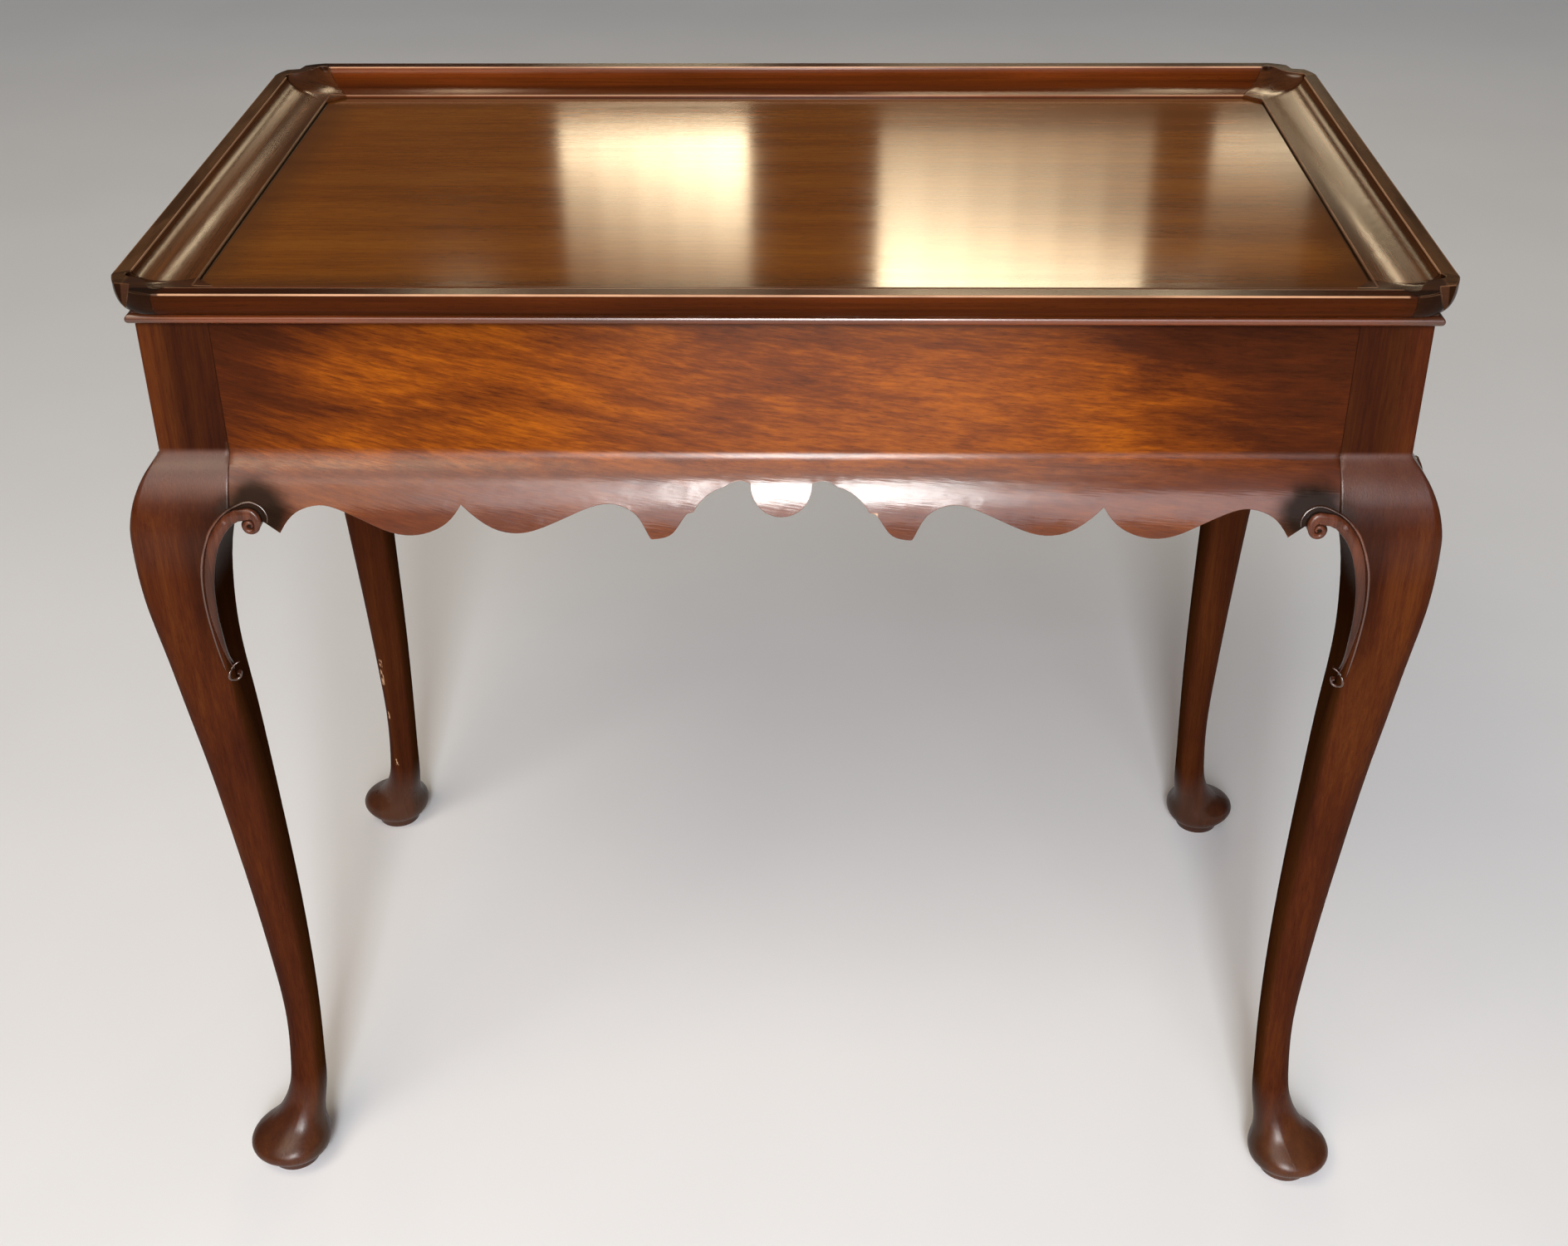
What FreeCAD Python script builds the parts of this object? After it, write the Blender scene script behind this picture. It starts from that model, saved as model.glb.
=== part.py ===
import FreeCAD, Part
import math
import os

# Tray top tea table. Millimetres, +Z up, origin on the floor under the middle of the table.
# +X runs along the length of the tray and -Y is the front.

# ---- driving dimensions -------------------------------------------------------------------
TRAY_LENGTH = 754.0          # outside of the tray rim along X
TRAY_DEPTH = 447.0           # outside of the tray rim along Y
TABLE_HEIGHT = 680.0         # floor to the top of the rim

# tray rim moulding
RIM_OVERHANG = 16.0          # rim past the front and back of the frieze
RIM_END_OVERHANG = 13.5      # rim past the ends of the frieze
RIM_HEIGHT = 15.0
RIM_WIDTH = 41.5             # outer edge to the joint with the board
LIP_WIDTH = 10.0             # flat top of the rim
TRAY_FALL = 13.5             # board surface below the top of the rim
RIM_UNDERCUT = 10.5          # how far the rounded outer face runs back at its foot
ROUND_FULLNESS = 0.6         # 1 for a plain quarter round, less for a fuller one
RIM_NOSE = 4.0               # upright part of the outer face above the round
LIP_EASE = 0.7               # rounding of the lip's outer arris
COVE_STEP = 2.0              # inner edge of the cove above the board
EDGE_EASE = 0.6              # small chamfers along the joint with the board

# corner pieces of the rim
SEAM_START = 36.0            # seam to the tray's end, measured along the lip's inner edge
SEAM_SLOPE = 0.55            # sideways run of the seam for each millimetre inwards
CORNER_RADIUS = 36.0         # rounding of the tray's outline
CORNER_FOOT_RADIUS = 16.0    # rounding at the foot of the outer face
LIP_CANT = 21.0              # inner corner of the lip from both outer edges
LIP_TURN = (0.64, 0.13)      # where the lip's edge turns to it: shares of the way along and inwards
CORNER_TURN_START = 24       # degrees round the outline where that turn starts
CORNER_TURN_JOINT = 0.25     # share of the joint with the board up to there
NOTCH_TOP = 15.0             # bottom of the re-entrant corner notch, from both outer edges
NOTCH_OPENING = 0.25         # how far its sides lean outwards for each millimetre
NOTCH_TAPER = 0.25           # how much the notch closes for each millimetre down

# board of the tray
BOARD_THICKNESS = 14.0
BOARD_CLEARANCE = 0.3        # board to the frame around it
JOINT_GAP = 0.15             # board to the rim moulding

# bead under the rim
BEAD_PROJECTION = 4.0
BEAD_HEIGHT = 8.2
BEAD_FILLET = 2.2            # flat strip between the round of the bead and the rim

# frieze and skirt
RAIL_THICKNESS = 20.0
FRIEZE_HEIGHT = 89.0         # rail top down to the shoulder where the flare starts
SKIRT_FALL = 46.0            # shoulder down to the tips of the drops
ARCH_FALL = 26.0             # shoulder down to the cusps and arches
CENTRE_LOBE_FALL = 14.4      # shoulder down to the middle of the round centre lobe
CENTRE_LOBE_RADIUS = 18.0
CENTRE_DROP = 75.5           # tip of each inner drop from the middle
DROP_TIP_FLAT = 0.8
END_DROP = 28.5              # tip of each end drop from the leg
LOBE_CUSP = 107.0            # cusp to the tip of the end drop
SKIRT_BACK = 5.0             # back of the skirt's foot behind the frieze face
VOLUTE_RADIUS = 5.4
VOLUTE_FROM_LEG = 12.0
VOLUTE_FALL = 38.0           # shoulder down to the eye of the volute
VOLUTE_SWELL = 0.9           # share of the knee's swell at that height
VOLUTE_PROUD = 1.5
CROOK_FROM_LEG = 19.5        # notch between the end drop and the volute
CROOK_FALL = 36.6
SPRING_FROM_LEG = 6.5        # notch between the volute and the leg
SPRING_FALL = 34.1
HEEL_FALL = 37.5             # lowest point of the rail at the leg

# legs
LEG_POST = 41.5              # square post at the corner of the frieze
KNEE_SWELL = 21.5            # knee past the frieze faces
KNEE_INSIDE = 24.3           # inside faces of the knee from the frieze faces
ARRIS = 0.8                  # rounding of the post's corners
KNEE_ROUNDINGS = (15.0, 4.5, 9.0)   # what the outer, side and inner corners gain down to the knee's end
KNEE_FOOT_FALL = 131.0       # shoulder down to the end of the knee
KNEE_FOOT_SWELL = 0.83       # share of the swell that is left there
ROUND_SHARE = 0.98           # corner rounding of the round ankle and foot, as a share of the half width
SHANK_SQUARING = (0.30, 0.74, 0.45)  # share that the outer, side and inner corners lose up to the knee
ANKLE_HEIGHT = 125.0
ANKLE_RADIUS = 12.0
ANKLE_INSET = 19.8           # ankle axis inside the frieze faces
PAD_RADIUS = 28.3
PAD_INSET = 1.8              # pad axis inside the frieze faces
PAD_LIP_HEIGHT = 9.5
DISC_TOP_RADIUS = 20.5       # small disc that the pad stands on
DISC_FOOT_RADIUS = 17.5

# joinery
TENON_LENGTH = 25.0
TENON_THICKNESS = 8.0
TENON_FACE = 6.0             # tenon behind the frieze face
TENON_SHOULDER = 12.0        # tenon below the rail top and above the shoulder line
TENON_CLEARANCE = 0.1
MORTISE_END_GAP = 1.0        # mortise deeper than the tenon is long
BLOCK_REACH = 95.0           # corner block along each rail, from the frieze corner
BLOCK_HEIGHT = 44.0
LEDGER_SIZE = 15.0
LEDGER_END_GAP = 0.5

# wood screws
SCREW_RADIUS = 2.0
SCREW_HEAD_RADIUS = 4.0
SCREW_HEAD_DEPTH = 2.4
SCREW_POINT_RADIUS = 0.5
SCREW_POINT_LENGTH = 4.0
BLOCK_SCREW_LENGTH = 28.0
BLOCK_SCREW_BITE = 12.0      # into the rail
BLOCK_SCREW_STATION = 74.0   # from the frieze corner along the rail
BLOCK_SCREW_STAGGER = 8.0    # above and below the middle of the block
LEDGER_SCREW_LENGTH = 26.0
BOARD_SCREW_LENGTH = 24.0
SIDE_SCREW_INSET = 62.0      # outermost ledger screws from the leg posts
LONG_RAIL_SCREWS = 5
SHORT_RAIL_SCREWS = 3

# ---- worked out from the driving dimensions --------------------------------------------------
HALF_TRAY_X = TRAY_LENGTH / 2
HALF_TRAY_Y = TRAY_DEPTH / 2
HALF_FRIEZE_X = HALF_TRAY_X - RIM_END_OVERHANG
HALF_FRIEZE_Y = HALF_TRAY_Y - RIM_OVERHANG
RAIL_TOP = TABLE_HEIGHT - RIM_HEIGHT
SHOULDER = RAIL_TOP - FRIEZE_HEIGHT
BOARD_TOP = TABLE_HEIGHT - TRAY_FALL
BOARD_BOTTOM = BOARD_TOP - BOARD_THICKNESS
SEAT_EDGE = RAIL_THICKNESS + BOARD_CLEARANCE     # edge of the board behind the frieze
SKIRT_FOOT = SHOULDER - SKIRT_FALL
BEYOND = 5.0                 # how far cutting bodies reach past what they cut
LEVEL_TOLERANCE = 1e-6

# The flare of the skirt and the top of the knee share one curve: (fall below shoulder, share of swell)
FLARE = [(0.0, 0.0), (3.5, 0.10), (8.0, 0.28), (13.5, 0.46), (20.0, 0.62), (28.0, 0.77),
         (37.0, 0.885), (46.0, 0.955)]
# Inside of the knee at the same heights: share of the way from the knee's inside to the post
KNEE_WAY = [1.0, 1.0, 1.0, 1.0, 1.0, 1.0, 0.91, 0.62]
# Rest of the knee: (fall, share of swell, share of that way)
LOWER_KNEE = [(55.0, 0.98, 0.37), (65.0, 0.995, 0.22), (76.0, 1.0, 0.12), (96.0, 0.975, 0.02)]
# Shank between ankle and knee: (share of height, share of radius gained, share of inset lost)
SHANK = [(0.14, 0.16, 0.03), (0.33, 0.39, 0.16), (0.52, 0.59, 0.35), (0.70, 0.76, 0.56), (0.86, 0.91, 0.79)]
# Foot: (height, share of radius gained, share of inset lost), from the lip of the pad up to the ankle
PAD = [(PAD_LIP_HEIGHT, 0.69, 0.95), (14.0, 0.92, 0.985), (20.0, 1.0, 1.0), (26.5, 0.78, 0.88),
       (33.0, 0.45, 0.67), (42.0, 0.22, 0.46), (52.0, 0.11, 0.29), (64.0, 0.045, 0.17), (78.0, 0.01, 0.11),
       (97.0, -0.01, 0.05)]


def vec(x, y, z):
    return FreeCAD.Vector(x, y, z)


def box(x0, x1, y0, y1, z0, z1):
    return Part.makeBox(x1 - x0, y1 - y0, z1 - z0, vec(x0, y0, z0))


def plan_prism(points, z0, z1):
    """Upright prism over a plan outline."""
    ring = [vec(x, y, z0) for x, y in points]
    face = Part.Face(Part.makePolygon(ring + ring[:1]))
    return face.extrude(vec(0, 0, z1 - z0))


def spline(points):
    """Smooth edge through the points, spaced evenly so that scaled copies keep the same form."""
    curve = Part.BSplineCurve()
    steps = [float(i) for i in range(len(points))]
    curve.interpolate(Points=points, Parameters=steps)
    return curve.toShape()


def line(start, end):
    return Part.makeLine(start, end)


def arc(start, middle, end):
    return Part.Arc(start, middle, end).toShape()


def mirror_x(shape):
    return shape.mirror(vec(0, 0, 0), vec(1, 0, 0))


def mirror_y(shape):
    return shape.mirror(vec(0, 0, 0), vec(0, 1, 0))


def four_corners(shape):
    """The same piece at all four corners, made for the front left one."""
    back = mirror_y(shape)
    return {"front_left": shape, "front_right": mirror_x(shape),
            "back_left": back, "back_right": mirror_x(back)}


def to_front(shape, half_depth):
    """From rail coordinates (along, inwards, up) to the front side."""
    return shape.translated(vec(0, -half_depth, 0))


def to_left(shape, half_length):
    """From rail coordinates (along, inwards, up) to the left end."""
    turned = shape.copy()
    turned.rotate(vec(0, 0, 0), vec(0, 0, 1), -90)
    return turned.translated(vec(-half_length, 0, 0))


def four_sides(long_piece, short_piece, half_depth, half_length):
    front = to_front(long_piece, half_depth)
    left = to_left(short_piece, half_length)
    return {"front": front, "back": mirror_y(front), "left": left, "right": mirror_x(left)}


# ---- wood screws -----------------------------------------------------------------------------
def screw(length):
    """Countersunk screw, head flush at the origin, pointing along +Z."""
    head = Part.makeCone(SCREW_HEAD_RADIUS, SCREW_RADIUS, SCREW_HEAD_DEPTH)
    shank_length = length - SCREW_POINT_LENGTH
    shank = Part.makeCylinder(SCREW_RADIUS, shank_length)
    point = Part.makeCone(SCREW_RADIUS, SCREW_POINT_RADIUS, SCREW_POINT_LENGTH, vec(0, 0, shank_length))
    return head.fuse([shank, point]).removeSplitter()


def screw_outwards(length, along, head_inwards, height):
    """Screw in rail coordinates, driven from inside towards the frieze face."""
    piece = screw(length)
    piece.rotate(vec(0, 0, 0), vec(1, 0, 0), 90)
    return piece.translated(vec(along, head_inwards, height))


def screw_upwards(length, along, inwards, height):
    return screw(length).translated(vec(along, inwards, height))


def spread(half_span, count):
    """Even stations from one end of the span to the other."""
    return [half_span * (2 * i / (count - 1) - 1) for i in range(count)]


def between(stations):
    return [(a + b) / 2 for a, b in zip(stations, stations[1:])]


# ---- legs ------------------------------------------------------------------------------------
def leg_section(height, out, inside, round_out, round_side, round_in):
    """Ring from -out to +inside both ways. The three radii are the outer, side and inner corners."""
    faces = {-1: -out, 1: inside}
    arcs = []
    corners = [(1, -1, -90, round_side), (1, 1, 0, round_in), (-1, 1, 90, round_side),
               (-1, -1, 180, round_out)]
    for side_u, side_v, start, radius in corners:
        middle = vec(faces[side_u] - side_u * radius, faces[side_v] - side_v * radius, height)
        turns = [math.radians(start + step) for step in (0, 45, 90)]
        arcs.append([middle + vec(radius * math.cos(turn), radius * math.sin(turn), 0) for turn in turns])
    edges = []
    for previous, points in zip(arcs[-1:] + arcs[:-1], arcs):
        edges += [line(previous[-1], points[0]), arc(*points)]
    return Part.Wire(edges)


def leg_rows():
    """Rows (height, out, inside, outer radius, side radius, inner radius) from the pad to the shoulder."""
    rows = []
    knee_foot = SHOULDER - KNEE_FOOT_FALL
    knee_radius = (KNEE_FOOT_SWELL * KNEE_SWELL + KNEE_INSIDE) / 2
    knee_inset = KNEE_INSIDE - knee_radius
    for height, grow, move in PAD:
        radius = ANKLE_RADIUS + grow * (PAD_RADIUS - ANKLE_RADIUS)
        inset = ANKLE_INSET + move * (PAD_INSET - ANKLE_INSET)
        roundings = [ROUND_SHARE * radius] * 3
        rows.append((height, radius - inset, radius + inset, *roundings))
    shank = [(0.0, 0.0, 0.0)] + SHANK + [(1.0, 1.0, 1.0)]
    for share, grow, move in shank:
        height = ANKLE_HEIGHT + share * (knee_foot - ANKLE_HEIGHT)
        radius = ANKLE_RADIUS + grow * (knee_radius - ANKLE_RADIUS)
        inset = ANKLE_INSET + move * (knee_inset - ANKLE_INSET)
        roundings = [radius * (ROUND_SHARE - loss * share ** 3) for loss in SHANK_SQUARING]
        rows.append((height, radius - inset, radius + inset, *roundings))
    upper_knee = [(fall, swell, way) for (fall, swell), way in zip(FLARE, KNEE_WAY)]
    for fall, swell, way in sorted(upper_knee + LOWER_KNEE, reverse=True):
        out = swell * KNEE_SWELL
        inside = KNEE_INSIDE + way * (LEG_POST - KNEE_INSIDE)
        share = fall / KNEE_FOOT_FALL
        roundings = [ARRIS + share * gain for gain in KNEE_ROUNDINGS]
        rows.append((SHOULDER - fall, out, inside, *roundings))
    return rows


def make_leg():
    """Cabriole leg in frieze corner coordinates: both faces of the frieze at zero."""
    rings = [leg_section(*row) for row in leg_rows()]
    leg = Part.makeLoft(rings, True, False)
    leg = leg.common(box(-HALF_TRAY_Y, LEG_POST, -HALF_TRAY_Y, LEG_POST, 0, SHOULDER))
    post = Part.Face(rings[-1]).extrude(vec(0, 0, FRIEZE_HEIGHT))
    lip_inset = ANKLE_INSET + PAD[0][2] * (PAD_INSET - ANKLE_INSET)
    disc = Part.makeCone(DISC_FOOT_RADIUS, DISC_TOP_RADIUS, PAD_LIP_HEIGHT, vec(lip_inset, lip_inset, 0))
    leg = leg.fuse([post, disc]).removeSplitter()
    # the inner corner of the post is lowered to carry the board
    beyond = LEG_POST + BEYOND
    leg = leg.cut(box(RAIL_THICKNESS, beyond, RAIL_THICKNESS, beyond, BOARD_BOTTOM, RAIL_TOP + BEYOND))
    # mortises for the two rails
    deep = LEG_POST - TENON_LENGTH - MORTISE_END_GAP
    near = TENON_FACE - TENON_CLEARANCE
    far = TENON_FACE + TENON_THICKNESS + TENON_CLEARANCE
    low = SHOULDER + TENON_SHOULDER - TENON_CLEARANCE
    high = RAIL_TOP - TENON_SHOULDER + TENON_CLEARANCE
    leg = leg.cut(box(deep, beyond, near, far, low, high))
    leg = leg.cut(box(near, far, deep, beyond, low, high))
    return leg.translated(vec(-HALF_FRIEZE_X, -HALF_FRIEZE_Y, 0))


# ---- rails -----------------------------------------------------------------------------------
def rail_bar(half_length):
    """Full section of a rail, frieze face at zero, before the skirt is sawn to its outline."""
    flare = [vec(0, -share * KNEE_SWELL, SHOULDER - fall) for fall, share in FLARE]
    foot = SHOULDER - SKIRT_FALL - BEYOND
    foot_out = vec(0, flare[-1].y, foot)
    top_out = vec(0, 0, RAIL_TOP)
    top_in = vec(0, RAIL_THICKNESS, RAIL_TOP)
    waist_in = vec(0, RAIL_THICKNESS, SHOULDER)
    lower_in = vec(0, SKIRT_BACK, SHOULDER - ARCH_FALL)
    foot_in = vec(0, SKIRT_BACK, foot)
    edges = [line(top_out, flare[0]), spline(flare), line(flare[-1], foot_out), line(foot_out, foot_in),
             line(foot_in, lower_in), line(lower_in, waist_in), line(waist_in, top_in), line(top_in, top_out)]
    face = Part.Face(Part.Wire(edges))
    return face.extrude(vec(2 * half_length, 0, 0)).translated(vec(-half_length, 0, 0))


def wave(start, end, shape):
    """Smooth run of the skirt's edge; shape is (share of the way, share from arch down to drop tip)."""
    arch = SHOULDER - ARCH_FALL
    drop = SKIRT_FALL - ARCH_FALL
    return [vec(start + share * (end - start), 0, arch - fall * drop) for share, fall in shape]


# notch beside the centre lobe: (past the side of the lobe, above its middle)
CENTRE_NOTCH = [(7.0, 1.2), (14.5, -1.6), (25.0, -6.2), (33.0, -15.3)]
# inner side of the inner drop: (before its tip, above the middle of the centre lobe)
INNER_DROP = [(21.0, -16.2), (17.0, -21.3), (12.5, -27.5), (7.0, -30.6)]
# inner drop, arch, lobe and cusp
INNER_WAVE = [(0.0, 0.98), (0.034, 0.61), (0.09, 0.20), (0.20, -0.03), (0.33, 0.09), (0.49, 0.47),
              (0.63, 0.77), (0.735, 0.83), (0.83, 0.70), (0.92, 0.39), (1.0, 0.0)]
# cusp, lobe, arch and end drop
OUTER_WAVE = [(0.0, 0.0), (0.061, 0.435), (0.145, 0.74), (0.266, 0.91), (0.388, 0.83), (0.50, 0.57),
              (0.65, 0.20), (0.77, 0.04), (0.874, 0.16), (0.944, 0.425), (1.0, 0.86)]
# one lobe between two cusps
MIDDLE_LOBE = [(0.0, 0.0), (0.115, 0.435), (0.275, 0.78), (0.5, 0.91), (0.725, 0.78), (0.885, 0.435),
               (1.0, 0.0)]


def mirrored(edges):
    return [edge.mirror(vec(0, 0, 0), vec(1, 0, 0)) for edge in edges]


def end_edges(half_length, tip):
    """From the tip of the end drop, past the volute, to the leg."""
    crook = vec(half_length - CROOK_FROM_LEG, 0, SHOULDER - CROOK_FALL)
    spring = vec(half_length - SPRING_FROM_LEG, 0, SHOULDER - SPRING_FALL)
    heel = vec(half_length, 0, SHOULDER - HEEL_FALL)
    return [line(tip, crook), line(crook, spring), line(spring, heel)], heel


def centre_edges(last):
    """Half of the centre lobe and the inner side of the drop beside it, from the middle outwards."""
    radius = CENTRE_LOBE_RADIUS
    level = SHOULDER - CENTRE_LOBE_FALL
    turn = math.radians(45)
    bottom = vec(0, 0, level - radius)
    lower_side = vec(radius * math.sin(turn), 0, level - radius * math.cos(turn))
    lobe_side = vec(radius, 0, level)
    arch_top, arch_end, bulge, step_in = [vec(radius + past, 0, level + rise) for past, rise in CENTRE_NOTCH]
    drop = [vec(CENTRE_DROP - before, 0, level + rise) for before, rise in INNER_DROP]
    drop.append(vec(CENTRE_DROP, 0, SKIRT_FOOT))
    return [arc(bottom, lower_side, lobe_side), arc(lobe_side, arch_top, arch_end),
            arc(arch_end, bulge, step_in), line(step_in, drop[0]), spline(drop), line(drop[-1], last)]


def sawn_outline(half_length, edges, heel):
    """Closed outline of a rail in elevation from half of its lower edge, as a body through the rail."""
    top_right = vec(half_length, 0, RAIL_TOP)
    top_left = vec(-half_length, 0, RAIL_TOP)
    heel_left = vec(-half_length, 0, heel.z)
    frame = [line(heel, top_right), line(top_right, top_left), line(top_left, heel_left)]
    face = Part.Face(Part.Wire(Part.__sortEdges__(edges + mirrored(edges) + frame)))
    reach = 2 * KNEE_SWELL
    return face.extrude(vec(0, reach + RAIL_THICKNESS + BEYOND, 0)).translated(vec(0, -reach, 0))


def finish_rail(half_length, edges, heel):
    rail = rail_bar(half_length).common(sawn_outline(half_length, edges, heel))
    proud = VOLUTE_SWELL * KNEE_SWELL + VOLUTE_PROUD
    for side in (-1, 1):
        eye = vec(side * (half_length - VOLUTE_FROM_LEG), -proud, SHOULDER - VOLUTE_FALL)
        rail = rail.fuse(Part.makeCylinder(VOLUTE_RADIUS, proud + SKIRT_BACK, eye, vec(0, 1, 0)))
    reach = half_length + TENON_LENGTH
    tenon = box(-reach, reach, TENON_FACE, TENON_FACE + TENON_THICKNESS,
                SHOULDER + TENON_SHOULDER, RAIL_TOP - TENON_SHOULDER)
    return rail.fuse(tenon).removeSplitter()


def make_long_rail():
    half_length = HALF_FRIEZE_X - LEG_POST
    cusp = half_length - END_DROP - LOBE_CUSP
    inner = wave(CENTRE_DROP + DROP_TIP_FLAT, cusp, INNER_WAVE)
    outer = wave(cusp, half_length - END_DROP, OUTER_WAVE)
    ends, heel = end_edges(half_length, outer[-1])
    return finish_rail(half_length, centre_edges(inner[0]) + [spline(inner), spline(outer)] + ends, heel)


def make_short_rail():
    half_length = HALF_FRIEZE_Y - LEG_POST
    cusp = half_length - END_DROP - LOBE_CUSP
    lobe = wave(-cusp, cusp, MIDDLE_LOBE)
    half_lobe = lobe[len(lobe) // 2:]
    outer = wave(cusp, half_length - END_DROP, OUTER_WAVE)
    ends, heel = end_edges(half_length, outer[-1])
    return finish_rail(half_length, [spline(half_lobe), spline(outer)] + ends, heel)


# ---- bead under the rim ----------------------------------------------------------------------
def make_bead(half_frieze):
    """Rounded strip with a small fillet, planted on the frieze under the rim and mitred at the corners."""
    low = RAIL_TOP - BEAD_HEIGHT
    high = RAIL_TOP - BEAD_FILLET
    square = BEAD_PROJECTION / 4
    back_low = vec(0, 0, low)
    front_low = vec(0, -square, low)
    nose = vec(0, -BEAD_PROJECTION, (low + high) / 2)
    front_high = vec(0, -square, high)
    front_top = vec(0, -square, RAIL_TOP)
    back_top = vec(0, 0, RAIL_TOP)
    edges = [line(back_low, front_low), arc(front_low, nose, front_high), line(front_high, front_top),
             line(front_top, back_top), line(back_top, back_low)]
    reach = half_frieze + BEAD_PROJECTION
    bar = Part.Face(Part.Wire(edges)).extrude(vec(2 * reach, 0, 0)).translated(vec(-reach, 0, 0))
    mitre = [(-reach, -BEAD_PROJECTION), (reach, -BEAD_PROJECTION), (half_frieze, 0), (-half_frieze, 0)]
    return bar.common(plan_prism(mitre, low - BEYOND, RAIL_TOP + BEYOND))


# ---- tray rim --------------------------------------------------------------------------------
def ovolo_points():
    """Rounded outer face from its foot up to the nose: (distance inwards, height)."""
    nose = TABLE_HEIGHT - RIM_NOSE
    rise = nose - RAIL_TOP
    turns = [math.radians(angle) for angle in range(0, 91, 18)]
    return [(RIM_UNDERCUT * (1 - math.sin(turn) ** ROUND_FULLNESS), nose - rise * math.cos(turn))
            for turn in turns]


def cove_points():
    """Hollow inner face from the lip down to the edge beside the board: (distance inwards, height)."""
    run = RIM_WIDTH - EDGE_EASE - LIP_WIDTH
    fall = TRAY_FALL - COVE_STEP
    turns = [math.radians(angle) for angle in range(0, 91, 15)]
    return [(LIP_WIDTH + run * (1 - math.cos(turn)), TABLE_HEIGHT - fall * math.sin(turn)) for turn in turns]


def rim_section(place):
    """Closed section of the rim moulding; place turns (distance inwards, height) into a point."""
    ovolo = [place(d, z) for d, z in ovolo_points()]
    nose_top = place(0, TABLE_HEIGHT - LIP_EASE)
    lip_outer = place(LIP_EASE, TABLE_HEIGHT)
    cove = [place(d, z) for d, z in cove_points()]
    edge_top = place(RIM_WIDTH, BOARD_TOP + COVE_STEP - EDGE_EASE)
    foot_inner = place(RIM_WIDTH, RAIL_TOP)
    return Part.Wire([spline(ovolo), line(ovolo[-1], nose_top), line(nose_top, lip_outer),
                      line(lip_outer, cove[0]), spline(cove), line(cove[-1], edge_top),
                      line(edge_top, foot_inner), line(foot_inner, ovolo[0])])


def seam_along(inwards):
    """Distance from the tray's end to the seam of a corner piece, at a distance inwards."""
    return SEAM_START + (inwards - LIP_WIDTH) * SEAM_SLOPE


def make_rim(half_tray):
    """Straight rim moulding between two corner pieces, outer edge at zero."""
    section = rim_section(lambda d, z: vec(-half_tray, d, z))
    bar = Part.Face(section).extrude(vec(2 * half_tray, 0, 0))
    near, far = -BEYOND, RIM_WIDTH + BEYOND
    keep = [(-half_tray + seam_along(near), near), (half_tray - seam_along(near), near),
            (half_tray - seam_along(far), far), (-half_tray + seam_along(far), far)]
    return bar.common(plan_prism(keep, RAIL_TOP - BEYOND, TABLE_HEIGHT + BEYOND))


def corner_path(angle, inwards, radius):
    """Point on a rounded outline; angle runs from 0 at the long side to 90 at the short side."""
    turn = math.radians(angle)
    centre = inwards + radius
    return (centre - radius * math.sin(turn), centre - radius * math.cos(turn))


def corner_stations():
    """Plan points (outer edge, foot of outer face, lip's inner edge, joint) from one seam to the other."""
    def seam_point(d):
        return (seam_along(d), d)

    joint_a = seam_point(RIM_WIDTH)
    joint_b = (joint_a[1], joint_a[0])

    def joint(share):
        return tuple(a + share * (b - a) for a, b in zip(joint_a, joint_b))

    lip_a = seam_point(LIP_WIDTH)
    def outline(angle):
        return corner_path(angle, 0, CORNER_RADIUS), corner_path(angle, RIM_UNDERCUT, CORNER_FOOT_RADIUS)

    lip_turn = tuple(a + share * (LIP_CANT - a) for a, share in zip(lip_a, LIP_TURN))
    half = [(seam_point(0), seam_point(RIM_UNDERCUT), lip_a, joint_a),
            (*outline(CORNER_TURN_START), lip_turn, joint(CORNER_TURN_JOINT))]
    middle = (*outline(45), (LIP_CANT, LIP_CANT), joint(0.5))
    other_half = [tuple((q, p) for p, q in station) for station in reversed(half)]
    return half + [middle] + other_half


def blend(a, b, share):
    return (a[0] + share * (b[0] - a[0]), a[1] + share * (b[1] - a[1]))


def corner_place(station):
    """Placing function of the rim section for one station of the corner piece."""
    edge, foot, lip, joint = station

    def place(d, z):
        if z == RAIL_TOP and d <= RIM_UNDERCUT:
            p, q = foot
        elif d <= RIM_UNDERCUT and z < TABLE_HEIGHT - LIP_EASE:
            p, q = blend(edge, foot, d / RIM_UNDERCUT)
        elif d <= LIP_WIDTH:
            p, q = blend(edge, lip, d / LIP_WIDTH)
        else:
            p, q = blend(lip, joint, (d - LIP_WIDTH) / (RIM_WIDTH - LIP_WIDTH))
        return vec(p, q, z)

    return place


def make_rim_corner():
    """Corner piece of the tray rim with its re-entrant notch, in tray corner coordinates."""
    wires = [rim_section(corner_place(station)) for station in corner_stations()]
    corner = Part.makeLoft(wires, True, False)
    rings = []
    for level in (RAIL_TOP, TABLE_HEIGHT + BEYOND):
        bottom = NOTCH_TOP + NOTCH_TAPER * (level - TABLE_HEIGHT)
        mouth = bottom + NOTCH_OPENING * (bottom + BEYOND)
        ring = [vec(-BEYOND, -BEYOND, level), vec(mouth, -BEYOND, level), vec(bottom, bottom, level),
                vec(-BEYOND, mouth, level)]
        rings.append(Part.makePolygon(ring + ring[:1]))
    notch = Part.makeLoft(rings, True, True)
    return corner.cut(notch).translated(vec(-HALF_TRAY_X, -HALF_TRAY_Y, 0))


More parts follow.
